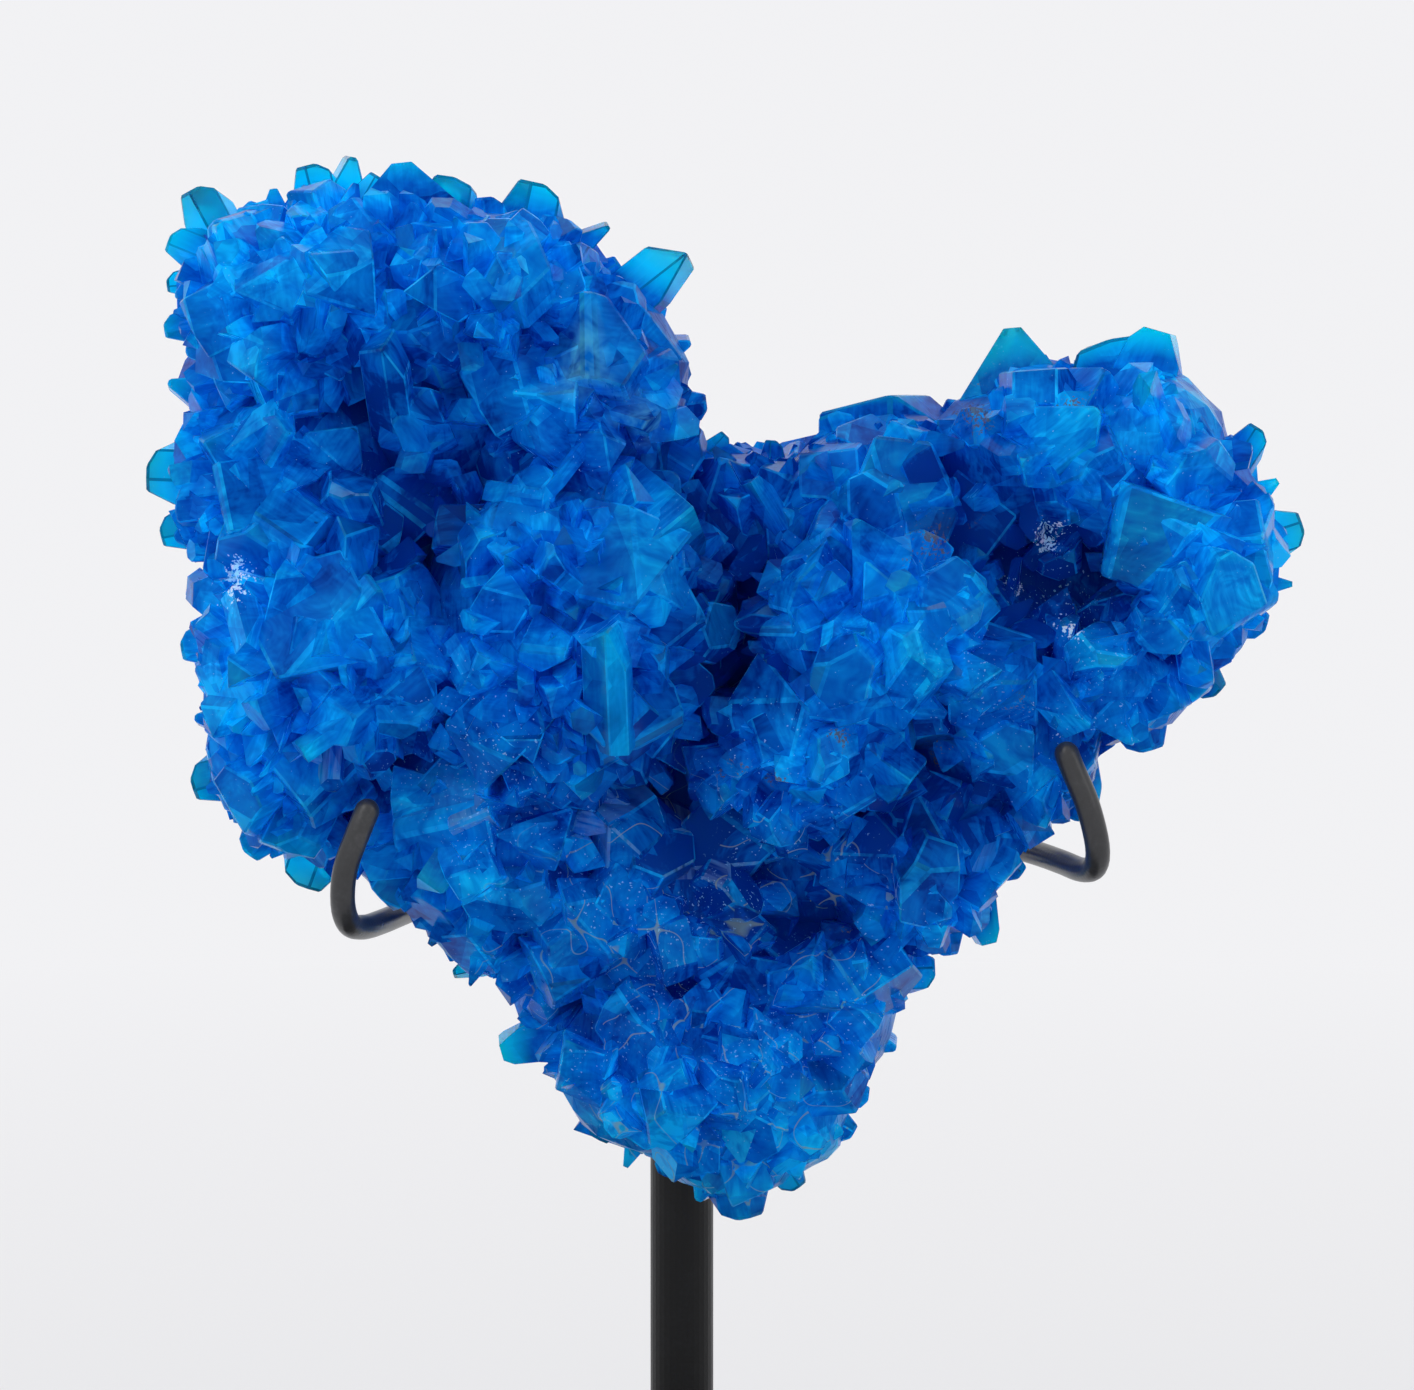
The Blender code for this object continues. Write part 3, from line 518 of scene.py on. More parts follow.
crust = {
    "seed": 29,
    "core": (0.9, 0.99),  # the body under the crystals, in shares of the lumps
    "skew": 0.28,  # how far the blocks lean into a rhomb
    "rootDepth": 4.5,  # how far a crystal reaches into the mass
    "leastLength": 0.5,
    "lengthStep": 0.4,  # by which a crystal that stands past the outline is shortened
    "outlineGive": (-0.4, 0.8),  # how far a crystal of the field may stand past the outline
    "fieldRoom": 0.84,  # least distance to the next crystal, in shares of the width
    "loneRoom": 0.42,
    "loneSpots": [(-0.32, 0, 0.6), (0, 0, 0.6), (0.32, 0, 0.6)],  # what loneRoom counts from, in the form
    "mostLean": 10,  # degrees; a lone crystal that leans more stands on the face
    "frontShare": 1.6,  # how far round the sides the crystals are as dense as in front
    "offered": 2.6,  # places tried for each that the spacing has room for
    "sinks": (0.0, 1.3, 2.6),  # tried in turn where a crystal would stand out past the outline
    "edgeMargin": 0.3,  # share of a lone crystal's length that the field stays back from its tip
    "chamfer": 0.03,  # of the larger crystals, in shares of their width
    "clearest": 0.35,  # crystal of the field
    "generations": [  # large crystals, smaller ones in the gaps, then the smallest
        {"front": 8.2, "back": 9.4, "rise": (0.05, 0.45), "width": (1.0, 1.65), "flat": (0.6, 1.0),
         "tilt": 27, "lift": 0.2, "share": 1.0, "worn": True,
         "forms": ["slant", "chisel", "spear", "block", "wedge", "prism", "block", "slant"]},
        {"front": 5.4, "back": 7.0, "rise": (0.06, 0.5), "width": (0.9, 1.5), "flat": (0.5, 1.0),
         "tilt": 30, "lift": 1.0, "share": 0.9, "worn": True,
         "forms": ["slant", "chisel", "spear", "block", "tablet", "wedge"]},
        {"front": 3.3, "back": 5.2, "rise": (0.15, 0.7), "width": (0.7, 1.3), "flat": (0.4, 1.0),
         "tilt": 36, "lift": 1.5, "share": 0.45, "worn": False,
         "forms": ["slant", "chisel", "spear", "tablet"]},
    ],
}


def formMesh(form):
    # One form as a mesh of a few dozen faces, root at z 0 and tip at z 1
    worn = form.endswith("_worn")
    form = form.removesuffix("_worn")
    bm = bmesh.new()
    bmesh.ops.create_cube(bm, size=1.0)
    for vert in bm.verts:
        vert.co.x += crust["skew"] * vert.co.y
        vert.co.z += 0.5
    for point, outward in crystalForms[form]:
        everything = bm.verts[:] + bm.edges[:] + bm.faces[:]
        bmesh.ops.bisect_plane(bm, geom=everything, plane_co=point, plane_no=outward, clear_outer=True)
        bmesh.ops.holes_fill(bm, edges=bm.edges[:], sides=0)
    if worn:
        above = [e for e in bm.edges if max(v.co.z for v in e.verts) > 0.3]
        bmesh.ops.bevel(bm, geom=above, offset=crust["chamfer"], segments=1, affect="EDGES", clamp_overlap=True)
    bmesh.ops.recalc_face_normals(bm, faces=bm.faces[:])
    return meshFrom("form_" + form, bm)


class Crystal:
    # One crystal: its form and the place, turn and size of that form, in millimetres
    def __init__(self, form, tip, direction, length, width, thickness, spin, clear=0.0):
        self.form = form
        self.clear = clear
        direction = direction.normalized()
        self.root = tip - direction * (length + crust["rootDepth"])
        self.turn = direction.to_track_quat("Z", "Y") @ Quaternion((0, 0, 1), spin)
        self.size = Vector((width, thickness, length + crust["rootDepth"]))
        self.matrix = Matrix.LocRotScale(self.root, self.turn, self.size)


def makeLoneCrystals():
    for tip, angle, lean, length, width, thickness, form, clear in loneCrystals:
        a = math.radians(angle)
        b = math.radians(lean)
        direction = Vector((math.cos(a) * math.cos(b), -math.sin(b), math.sin(a) * math.cos(b)))
        axes = direction.to_track_quat("Z", "Y").to_matrix()
        across = direction.cross(Vector((0, -1, 0)))  # the width lies in the plane of the face
        spin = math.atan2(across.dot(axes.col[1]), across.dot(axes.col[0]))
        place = Vector(tip) + Vector((0, 0, stand["tipHeight"]))
        yield Crystal(form + "_worn", place, direction, length, width, thickness, spin, clear)


def outlinePoints():
    # The outline that the crystals of the field stay within, through the tips of the lone ones
    points = []
    for tip, angle, lean, length, width, thickness, form, clear in loneCrystals:
        if lean < crust["mostLean"]:
            back = crust["edgeMargin"] * length
            a = math.radians(angle)
            points.append((tip[0] - back * math.cos(a), tip[2] - back * math.sin(a) + stand["tipHeight"]))
    return points


def insideOutline(point, outline):
    inside = False
    for (x1, z1), (x2, z2) in zip(outline, outline[1:] + outline[:1]):
        if (z1 > point.z) != (z2 > point.z) and point.x < x1 + (point.z - z1) / (z2 - z1) * (x2 - x1):
            inside = not inside
    return inside


def spiralPoints(centre, half, spacing):
    # Evenly spread places on a lump, and which way is out there
    power = 1.6  # of the usual formula for the area of an ellipsoid
    mean = ((half[0] * half[1]) ** power + (half[0] * half[2]) ** power + (half[1] * half[2]) ** power) / 3
    count = int(4 * math.pi * mean ** (1 / power) / spacing ** 2 * crust["offered"])
    golden = math.pi * (3 - math.sqrt(5))
    for i in range(count):
        z = 1 - 2 * (i + 0.5) / count
        r = math.sqrt(1 - z * z)
        unit = (r * math.cos(i * golden), r * math.sin(i * golden), z)
        point = Vector([centre[k] + unit[k] * half[k] for k in range(3)])
        yield point, Vector([unit[k] / half[k] for k in range(3)]).normalized()


def insideLump(point, lump, share=0.97):
    centre, half, grain = lump
    return sum(((point[k] - centre[k]) / half[k]) ** 2 for k in range(3)) < share


class Crowd:
    # Points kept in a coarse grid, to ask quickly whether a place is taken
    def __init__(self, cell):
        self.cell = cell
        self.grid = {}

    def key(self, point):
        return tuple(int(math.floor(c / self.cell)) for c in point)

    def add(self, point):
        self.grid.setdefault(self.key(point), []).append(point)

    def near(self, point, distance):
        a, b, c = self.key(point)
        reach = int(math.ceil(distance / self.cell))
        span = range(-reach, reach + 1)
        return any((point - other).length < distance for i in span for j in span for k in span
                   for other in self.grid.get((a + i, b + j, c + k), ()))


def growField(generation, rng, forms, outline, lone):
    # One generation of crystals over all the lumps, each at a free place and short enough for the outline
    crowd = Crowd(generation["back"])
    taken = Crowd(generation["back"])
    for crystal in lone:
        for spot in crust["loneSpots"]:
            taken.add(crystal.matrix @ Vector(spot))
    grown = []
    for lump in lumps:
        centre, half, grain = lump
        others = [other for other in lumps if other is not lump]
        wide = tuple(h + generation["lift"] for h in half)
        for point, normal in spiralPoints(centre, wide, generation["front"] * grain):
            axis = Vector((rng.gauss(0, 1), rng.gauss(0, 1), rng.gauss(0, 1))).normalized()
            tilt = rng.gauss(0, math.radians(generation["tilt"]))
            spin = rng.uniform(0, 2 * math.pi)
            form = rng.choice(generation["forms"]) + ("_worn" if generation["worn"] else "")
            spread = rng.uniform(*generation["width"])
            flat = rng.uniform(*generation["flat"])
            clear = crust["clearest"] * rng.random() ** 3
            give = rng.uniform(*crust["outlineGive"])
            rise = rng.uniform(*generation["rise"])
            if rng.random() > generation["share"] or any(insideLump(point, other) for other in others):
                continue
            front = min(1.0, (1 - normal.y) / 2 * crust["frontShare"])
            spacing = (generation["back"] + (generation["front"] - generation["back"]) * front) * grain
            place = point + Vector((0, 0, stand["tipHeight"]))
            width = spacing * spread
            if crowd.near(place, width * crust["fieldRoom"]) or taken.near(place, width * crust["loneRoom"]):
                continue
            direction = Quaternion(axis, tilt) @ normal
            length = spacing * rise
            for sink in crust["sinks"]:
                foot = place - normal * sink
                fitting = length
                crystal = None
                while fitting > crust["leastLength"] and crystal is None:
                    crystal = Crystal(form, foot + direction * fitting, direction, fitting, width, width * flat,
                                      spin, clear)
                    tops = [crystal.matrix @ v.co for v in forms[form].vertices if v.co.z > 0.5]
                    if not all(insideOutline(top - normal * give, outline) for top in tops):
                        crystal = None
                    fitting -= crust["lengthStep"]
                if crystal:
                    crowd.add(place)
                    grown.append(crystal)
                    break
    return grown


def clearsStand(crystal, forms, lines):
    # Whether the crystal keeps its distance from the post and the wires
    mesh = forms[crystal.form]
    middle = crystal.matrix @ Vector((0, 0, 0.5))
    size = crystal.size.length / 2 + 0.5
    near = [(a, b, radius) for a, b, radius in lines
            if segmentDistance(middle, a, b) < size + radius + stand["clearance"]]
    if not near:
        return True
    corners = [crystal.matrix @ v.co for v in mesh.vertices]
    tree = BVHTree.FromPolygons(corners, [tuple(face.vertices) for face in mesh.polygons])
    for a, b, radius in near:
        reach = radius + stand["clearance"]
        steps = max(2, math.ceil((b - a).length / reach))
        for i in range(steps + 1):
            sample = a + (b - a) * (i / steps)
            nearest, normal, index, distance = tree.find_nearest(sample)
            if distance < reach or (sample - nearest).dot(normal) < 0:
                return False
    return True


def joinedCore():
    # The lumps as one closed body, so that it can be joined with the crystals
    rng = random.Random(crust["seed"])
    helper = bpy.data.collections.new("lumps")
    bodies = []
    for centre, half, grain in lumps:
        bm = bmesh.new()
        bmesh.ops.create_icosphere(bm, subdivisions=3, radius=1.0)
        for vert in bm.verts:
            reach = rng.uniform(*crust["core"])
            vert.co = Vector([centre[k] + vert.co[k] * half[k] * reach for k in range(3)])
            vert.co.z += stand["tipHeight"]
        bodies.append(bpy.data.objects.new("lump", meshFrom("lump", bm)))
    for body in bodies[1:]:
        helper.objects.link(body)
    core = bodies[0]
    bpy.context.scene.collection.objects.link(core)
    union = core.modifiers.new("join", "BOOLEAN")
    union.operation = "UNION"
    union.operand_type = "COLLECTION"
    union.collection = helper
    union.solver = "EXACT"
    mesh = bpy.data.meshes.new_from_object(core.evaluated_get(bpy.context.evaluated_depsgraph_get()))
    for body in bodies:
        bpy.data.objects.remove(body)
    bpy.data.collections.remove(helper)
    return addObject("coreHelper", mesh)


def outerShell(mesh):
    # Keeps the largest shell of the mesh and takes away the closed hollows between the crystals
    bm = bmesh.new()
    bm.from_mesh(mesh)
    seen = set()
    shells = []
    for face in bm.faces:
        if face in seen:
            continue
        shell = [face]
        seen.add(face)
        for current in shell:
            for edge in current.edges:
                for neighbour in edge.link_faces:
                    if neighbour not in seen:
                        seen.add(neighbour)
                        shell.append(neighbour)
        shells.append(shell)
    shells.sort(key=len, reverse=True)
    for shell in shells[1:]:
        bmesh.ops.delete(bm, geom=shell, context="FACES")
    bmesh.ops.delete(bm, geom=[v for v in bm.verts if not v.link_faces], context="VERTS")
    bm.to_mesh(mesh)
    bm.free()
    return len(shells) - 1


def growingTree(formCollection, core, material):
    # Puts each point's form in place and joins them all with the core
    maker, given = buildTree("grow crystals", {"Unit": "Float"})

    def attribute(name, kind):
        return maker.node("GeometryNodeInputNamedAttribute", {"data_type": kind}, {"Name": name}).outputs[0]

    forms = maker.node("GeometryNodeCollectionInfo", None,
                       {"Collection": formCollection, "Separate Children": True, "Reset Children": True})
    turn = maker.node("FunctionNodeEulerToRotation", None, {0: attribute("turn", "FLOAT_VECTOR")})
    placed = maker.node("GeometryNodeInstanceOnPoints", None, {
        "Points": given["Geometry"], "Instance": forms.outputs["Instances"], "Pick Instance": True,
        "Instance Index": attribute("form", "INT"), "Rotation": turn.outputs["Rotation"],
        "Scale": attribute("size", "FLOAT_VECTOR")})
    mass = maker.node("GeometryNodeObjectInfo", None, {"Object": core})
    joined = maker.node("GeometryNodeMeshBoolean", {"operation": "UNION", "solver": "MANIFOLD"},
                        {"Mesh 2": [placed.outputs["Instances"], mass.outputs["Geometry"]]})
    unit = maker.node("ShaderNodeCombineXYZ", None, {axis: given["Unit"] for axis in "XYZ"})
    scaled = maker.node("GeometryNodeTransform", None,
                        {"Geometry": joined.outputs["Mesh"], "Scale": unit.outputs["Vector"]})
    return endTree(maker, scaled.outputs["Geometry"], material)


def buildCrystals(material):
    forms = {form: formMesh(form) for form in formNames}
    lines = standLines()
    outline = outlinePoints()
    rng = random.Random(crust["seed"])
    lone = list(makeLoneCrystals())
    crystals = list(lone)
    for generation in crust["generations"]:
        crystals += growField(generation, rng, forms, outline, lone)
    crystals = [crystal for crystal in crystals if clearsStand(crystal, forms, lines)]
    print("crystals:", len(crystals))

    formCollection = bpy.data.collections.new("crystal forms")
    for index, name in enumerate(formNames):
        formCollection.objects.link(bpy.data.objects.new(f"{index:02d}_{name}", forms[name]))
    points = bpy.data.meshes.new("crystal points")
    points.from_pydata([crystal.root for crystal in crystals], [], [])
    columns = {
        "turn": ("FLOAT_VECTOR", "vector", [c for crystal in crystals for c in crystal.turn.to_euler()]),
        "size": ("FLOAT_VECTOR", "vector", [c for crystal in crystals for c in crystal.size]),
        "form": ("INT", "value", [formNames.index(crystal.form) for crystal in crystals]),
    }
    for name, (kind, field, values) in columns.items():
        points.attributes.new(name, kind, "POINT").data.foreach_set(field, values)
    cluster = addObject("crystalCrust", points)
    core = joinedCore()
    tree = growingTree(formCollection, core, material)
    mesh = meshFromTree(cluster, tree, {"Unit": mm})
    for helper in list(formCollection.objects) + [core]:
        bpy.data.objects.remove(helper)
    bpy.data.collections.remove(formCollection)
    hollows = outerShell(mesh)
    triangles = sum(len(face.vertices) - 2 for face in mesh.polygons)
    print("crystal crust:", len(mesh.polygons), "faces,", triangles, "triangles,", hollows, "hollows closed")
    return cluster, crystals


crystalLook = {  # sizes in millimetres
    # The tone's weights include painted shade in closed-in hollows, painted light on lit lobes and painted shade
    # in the valleys
    "tone": {"occlusion_shade": 1.25, "crystal": 0.18, "facet": 0.26, "inner": 0.38, "streaks": 0.4, "clouds": 0.4,
             "veils": 0.44, "painted_light": 0.3, "painted_shade": 0.45, "less": 1.38},
    "blues": [(0.0, (0.0002, 0.024, 0.2)), (0.3, (0.0004, 0.078, 0.36)), (0.6, (0.001, 0.145, 0.49)),
              (0.85, (0.002, 0.25, 0.61)), (1.0, (0.004, 0.37, 0.73))],
    "sizes": {"veils": 4.5, "clouds": 12, "cells": 3.6, "grit": 0.32, "fibres": 4.5, "streaks": (0.2, 1.6, 1.0)},
    "outward": 6,  # how far out of the mass a crystal is fully clear
    "ior": 1.53,
    "scatter": (0.3, 4.5, 10.0),  # how far red, green and blue light spreads under the surface
    "absorbed": (2.2, 0.12, 0.03),  # per millimetre
    "share": {"windows": 0.35, "clear": 0.5},  # of see-through surface over milky
    "marks": {  # strength and colour
        # Painted highlight on the chamfers, in pale blue; the bright cyan after it is light through the clear
        # tips, partly their own paler tint and partly painted backlight
        "rim": (0.35, (0.01, 0.42, 0.85)), "clear": (1.0, (0.0, 0.62, 0.93)),
        # Painted light: pale cyan patches of light inside the clear tips
        "inner_painted_light": (0.45, (0.1, 0.7, 0.85)),
        # The dark navy on clear edges is painted shade; the dull lilac is partly bloom and partly a painted
        # reflection
        "edge": (0.75, (0.0, 0.1, 0.22)), "green": (0.6, (0.12, 0.42, 0.4)), "bloom": (0.5, (0.12, 0.21, 0.42)),
        "fibres": (0.55, (0.22, 0.27, 0.18)), "dust": (0.6, (0.25, 0.45, 0.7)),
        "rust": (0.8, (0.09, 0.06, 0.045)), "powder": (0.85, (0.6, 0.7, 0.82))},
}

# Marks on the front: x, height and radius
marks = {
    # Painted light: lobes drawn lighter where light falls on them
    "painted_light": [(-41, 66, 10), (-39, 82, 6), (-26, 79, 5), (-29.5, 93, 6), (-33, 63, 8), (21.5, 60, 9),
             (11, 48, 5), (52, 67, 6), (-36, 97, 6), (47, 86, 6), (-4, 8, 10), (14, 8, 8)],
    # Painted shade: valleys between the lobes drawn darker
    "painted_shade": [(-25, 70.5, 6), (5.5, 57, 8), (35.5, 66, 6), (4, 34.5, 8), (24.5, 39, 9), (-14, 50, 5)],
    "fibres": [(2, 22, 26)],
    "dust": [(2, 25, 30), (36, 58, 16), (-20, 45, 14)],
    "powder": [(-43.6, 65.3, 2.6), (36.2, 69.6, 3.6), (36.4, 54, 1.8), (36.9, 48.5, 2.4), (38, 60, 1.6),
               (33, 64, 2)],
    "rust": [(38.4, 80.8, 2.2), (28.9, 81, 2.2), (24.4, 69, 3), (8.9, 45.8, 1.2), (15.9, 50.2, 1.2),
             (16.4, 29.8, 1.4), (5.4, 47.5, 1.2), (33.1, 54.2, 1.2), (26, 48, 1.4)],
    "green": [(-9.4, 85.8, 3.4), (-4.1, 80.6, 3.2)],
    # Dull lilac marks: part bloom on the crystals, part a painted reflection on a tilted face
    "bloom": [(-32, 73.5, 2), (-21, 42, 2.4), (-7.4, 41, 3), (1.4, 38.5, 3), (4, 36, 2.4), (-35, 47, 2.2)],
}

# How a facet of the joined mesh finds the crystal that it belongs to
matching = {
    "neighbours": 14,  # crystals asked about each facet
    "gap": 0.03,
    "parallel": 0.995,
    "none": -1e3,  # offset of a plane that isn't there
    "batch": 4000,
    "middle": 0.62,  # of a crystal's length
    "mostFaces": 64,
    "rimArea": 0.06,  # a smaller face of a form is one of its chamfers
    "bare": 0.35,  # share of the facets under a bloom mark, part bloom and part painted reflection, that stay clean
    "grainShift": 50,
}


def facetPlanes(crystals, forms):
    # Every crystal's faces as planes in millimetres, in arrays padded to one length
    most = max(len(mesh.polygons) for mesh in forms.values())
    normals = np.zeros((len(crystals), most, 3))
    offsets = np.full((len(crystals), most), matching["none"])
    for i, crystal in enumerate(crystals):
        matrix = crystal.matrix
        turned = matrix.to_3x3().inverted().transposed()
        for j, face in enumerate(forms[crystal.form].polygons):
            normal = (turned @ face.normal).normalized()
            normals[i, j] = normal
            if face.center.z > 1e-6:  # the root face lies inside the mass
                offsets[i, j] = normal.dot(matrix @ face.center)
    normals[offsets == matching["none"]] = 0
    return normals, offsets


def faceOwners(centres, facing, crystals, forms):
    # Which crystal and which of its faces each face of the joined mesh came from, -1 for none
    normals, offsets = facetPlanes(crystals, forms)
    tree = KDTree(len(crystals))
    for i, crystal in enumerate(crystals):
        tree.insert(crystal.matrix @ Vector((0, 0, matching["middle"])), i)
    tree.balance()
    nearest = np.array([[found[1] for found in tree.find_n(centre, matching["neighbours"])] for centre in centres])
    owner = np.full(len(centres), -1)
    plane = np.zeros(len(centres), int)
    for start in range(0, len(centres), matching["batch"]):
        part = slice(start, start + matching["batch"])
        near = nearest[part]
        n, d = normals[near], offsets[near]
        used = d != matching["none"]
        gap = np.einsum("fcpk,fk->fcp", n, centres[part]) - d
        inside = np.where(used, gap, -1).max(axis=2) < matching["gap"]
        along = np.einsum("fcpk,fk->fcp", n, facing[part])
        fit = used & (np.abs(gap) < matching["gap"]) & (along > matching["parallel"]) & inside[:, :, None]
        score = np.where(fit, np.abs(gap), 1e3).reshape(len(near), -1)
        best = score.argmin(axis=1)
        good = score[np.arange(len(near)), best] < 1
        owner[part] = np.where(good, near[np.arange(len(near)), best // d.shape[2]], -1)
        plane[part] = best % d.shape[2]
    return owner, plane


def lumpDepth(points):
    # How far points, in millimetres, stand out of the lumps
    deepest = np.full(len(points), 1e3)
    for centre, half, grain in lumps:
        place = np.array(centre) + (0, 0, stand["tipHeight"])
        reach = np.linalg.norm((points - place) / np.array(half), axis=1)
        deepest = np.minimum(deepest, (reach - 1) * np.linalg.norm(points - place, axis=1) / reach)
    return deepest


# Rays that tell how open a place lies: their number, the turn from one to the next, and how far over
# the lumps they start
skyRays = {"count": 48, "turn": 2.39996, "swell": 1.04, "lift": 3, "batch": 1000}


def massOpenness(points):
    # Share of rays from just above each point that get away past the lumps; the tone paints shade with it, darker
    # where fewer get away
    rays = []
    for i in range(skyRays["count"]):
        z = 1 - 2 * (i + 0.5) / skyRays["count"]
        turn = i * skyRays["turn"]
        flat = math.sqrt(1 - z * z)
        rays.append((flat * math.cos(turn), flat * math.sin(turn), z))
    rays = np.array(rays)
    centres = np.array([lump[0] for lump in lumps]) + (0, 0, stand["tipHeight"])
    halves = np.array([lump[1] for lump in lumps]) * skyRays["swell"]
    scaled = rays[None] / halves[:, None]  # lump, ray, axis
    long = (scaled ** 2).sum(axis=2)
    free = np.empty(len(points))
    for start in range(0, len(points), skyRays["batch"]):
        part = points[start:start + skyRays["batch"]]
        offset = (part[:, None] - centres) / halves
        reach = np.linalg.norm(offset, axis=2)
        nearest = reach.argmin(axis=1)
        away = offset[np.arange(len(part)), nearest] / halves[nearest]
        away /= np.linalg.norm(away, axis=1)[:, None]
        lifted = part + away * skyRays["lift"]
        offset = (lifted[:, None] - centres) / halves
        inner = (offset ** 2).sum(axis=2)  # point, lump
        half = np.einsum("pla,lra->plr", offset, scaled)
        hit = (half ** 2 > long[None] * (inner - 1)[:, :, None]) & (half < 0) | (inner < 1)[:, :, None]
        free[start:start + len(part)] = 1 - hit.any(axis=1).mean(axis=1)
    return free


def markField(points, kind):
    # 1 at the middle of each mark of this kind, 0 past its edge and on the back
    field = np.zeros(len(points))
    for x, height, radius in marks[kind]:
        away = np.hypot(points[:, 0] - x, points[:, 2] - height - stand["tipHeight"])
        field = np.maximum(field, 1 - away / radius)
    return field * (points[:, 1] < 0)


def faceVector(mesh, name):
    values = np.empty(len(mesh.polygons) * 3)
    mesh.polygons.foreach_get(name, values)
    return values.reshape(-1, 3)


def grainMap(mesh, points, facing, along, shift):
    # A map in millimetres, along each facet's crystal and across it
    loops = np.empty(len(mesh.loops), int)
    mesh.loops.foreach_get("vertex_index", loops)
    sides = np.empty(len(mesh.polygons), int)
    mesh.polygons.foreach_get("loop_total", sides)
    ofFace = np.repeat(np.arange(len(mesh.polygons)), sides)
    along = along[ofFace]
    across = np.cross(facing[ofFace], along)
    spot = points[loops]
    grain = np.stack([np.einsum("ij,ij->i", spot, along), np.einsum("ij,ij->i", spot, across)], axis=1)
    grain += shift[ofFace][:, None]
    mesh.uv_layers.new(name="grain").uv.foreach_set("vector", grain.astype(np.float32).ravel())


def markCrystals(cluster, crystals):
    # Attributes for the finish: each crystal's and each facet's own number, how far a point stands out of the mass
    # and how open it lies, which the tone turns into painted shade, and where the marks are, among them marks of
    # painted light and painted shade
    mesh = cluster.data
    forms = {form: formMesh(form) for form in formNames}
    centres = faceVector(mesh, "center") / mm
    facing = faceVector(mesh, "normal")
    owner, plane = faceOwners(centres, facing, crystals, forms)
    rng = np.random.default_rng(crust["seed"])
    most = matching["mostFaces"]
    perCrystal = rng.random(len(crystals) + 1)
    perFacet = rng.random((len(crystals) + 1, most))
    narrow = {name: [face.area < matching["rimArea"] for face in form.polygons] for name, form in forms.items()}
    rims = np.zeros((len(crystals) + 1, most))
    for i, crystal in enumerate(crystals):
        rims[i, :len(narrow[crystal.form])] = narrow[crystal.form]
    ofFacet = perFacet[owner, plane]
    # The chamfer flag below carries a painted highlight and painted dark edges, and the bloom facets are partly a
    # painted reflection
    faceValues = {
        "shade": perCrystal[owner], "facet": ofFacet, "rim": rims[owner, plane] * (owner >= 0),
        "clear": np.array([crystal.clear for crystal in crystals] + [0.0])[owner],
        "bloom": (markField(centres, "bloom") > 0) * (ofFacet > matching["bare"])}
    for name, values in faceValues.items():
        mesh.attributes.new(name, "FLOAT", "FACE").data.foreach_set("value", values.astype(np.float32))

    points = np.empty(len(mesh.vertices) * 3)
    mesh.vertices.foreach_get("co", points)
    points = points.reshape(-1, 3) / mm
    tone = crystalLook["tone"]
    fields = {kind: markField(points, kind) for kind in ("fibres", "dust", "powder", "rust", "green")}
    fields["out"] = np.clip(lumpDepth(points) / crystalLook["outward"], 0, 1)
    # Painted light and shade: darker where the mass closes in round a point, lighter in the marks of painted
    # light, darker in the marks of painted shade
    fields["depth"] = (massOpenness(points) * tone["occlusion_shade"] + markField(points, "painted_light") * tone["painted_light"]
                       - markField(points, "painted_shade") * tone["painted_shade"])
    for name, values in fields.items():
        mesh.attributes.new(name, "FLOAT", "POINT").data.foreach_set("value", values.astype(np.float32))
    axes = np.array([crystal.turn @ Vector((0, 0, 1)) for crystal in crystals] + [(0, 0, 1)])
    grainMap(mesh, points, facing, axes[owner], ofFacet * matching["grainShift"])
    print("facets of the core:", int((owner < 0).sum()), "of", len(mesh.polygons))


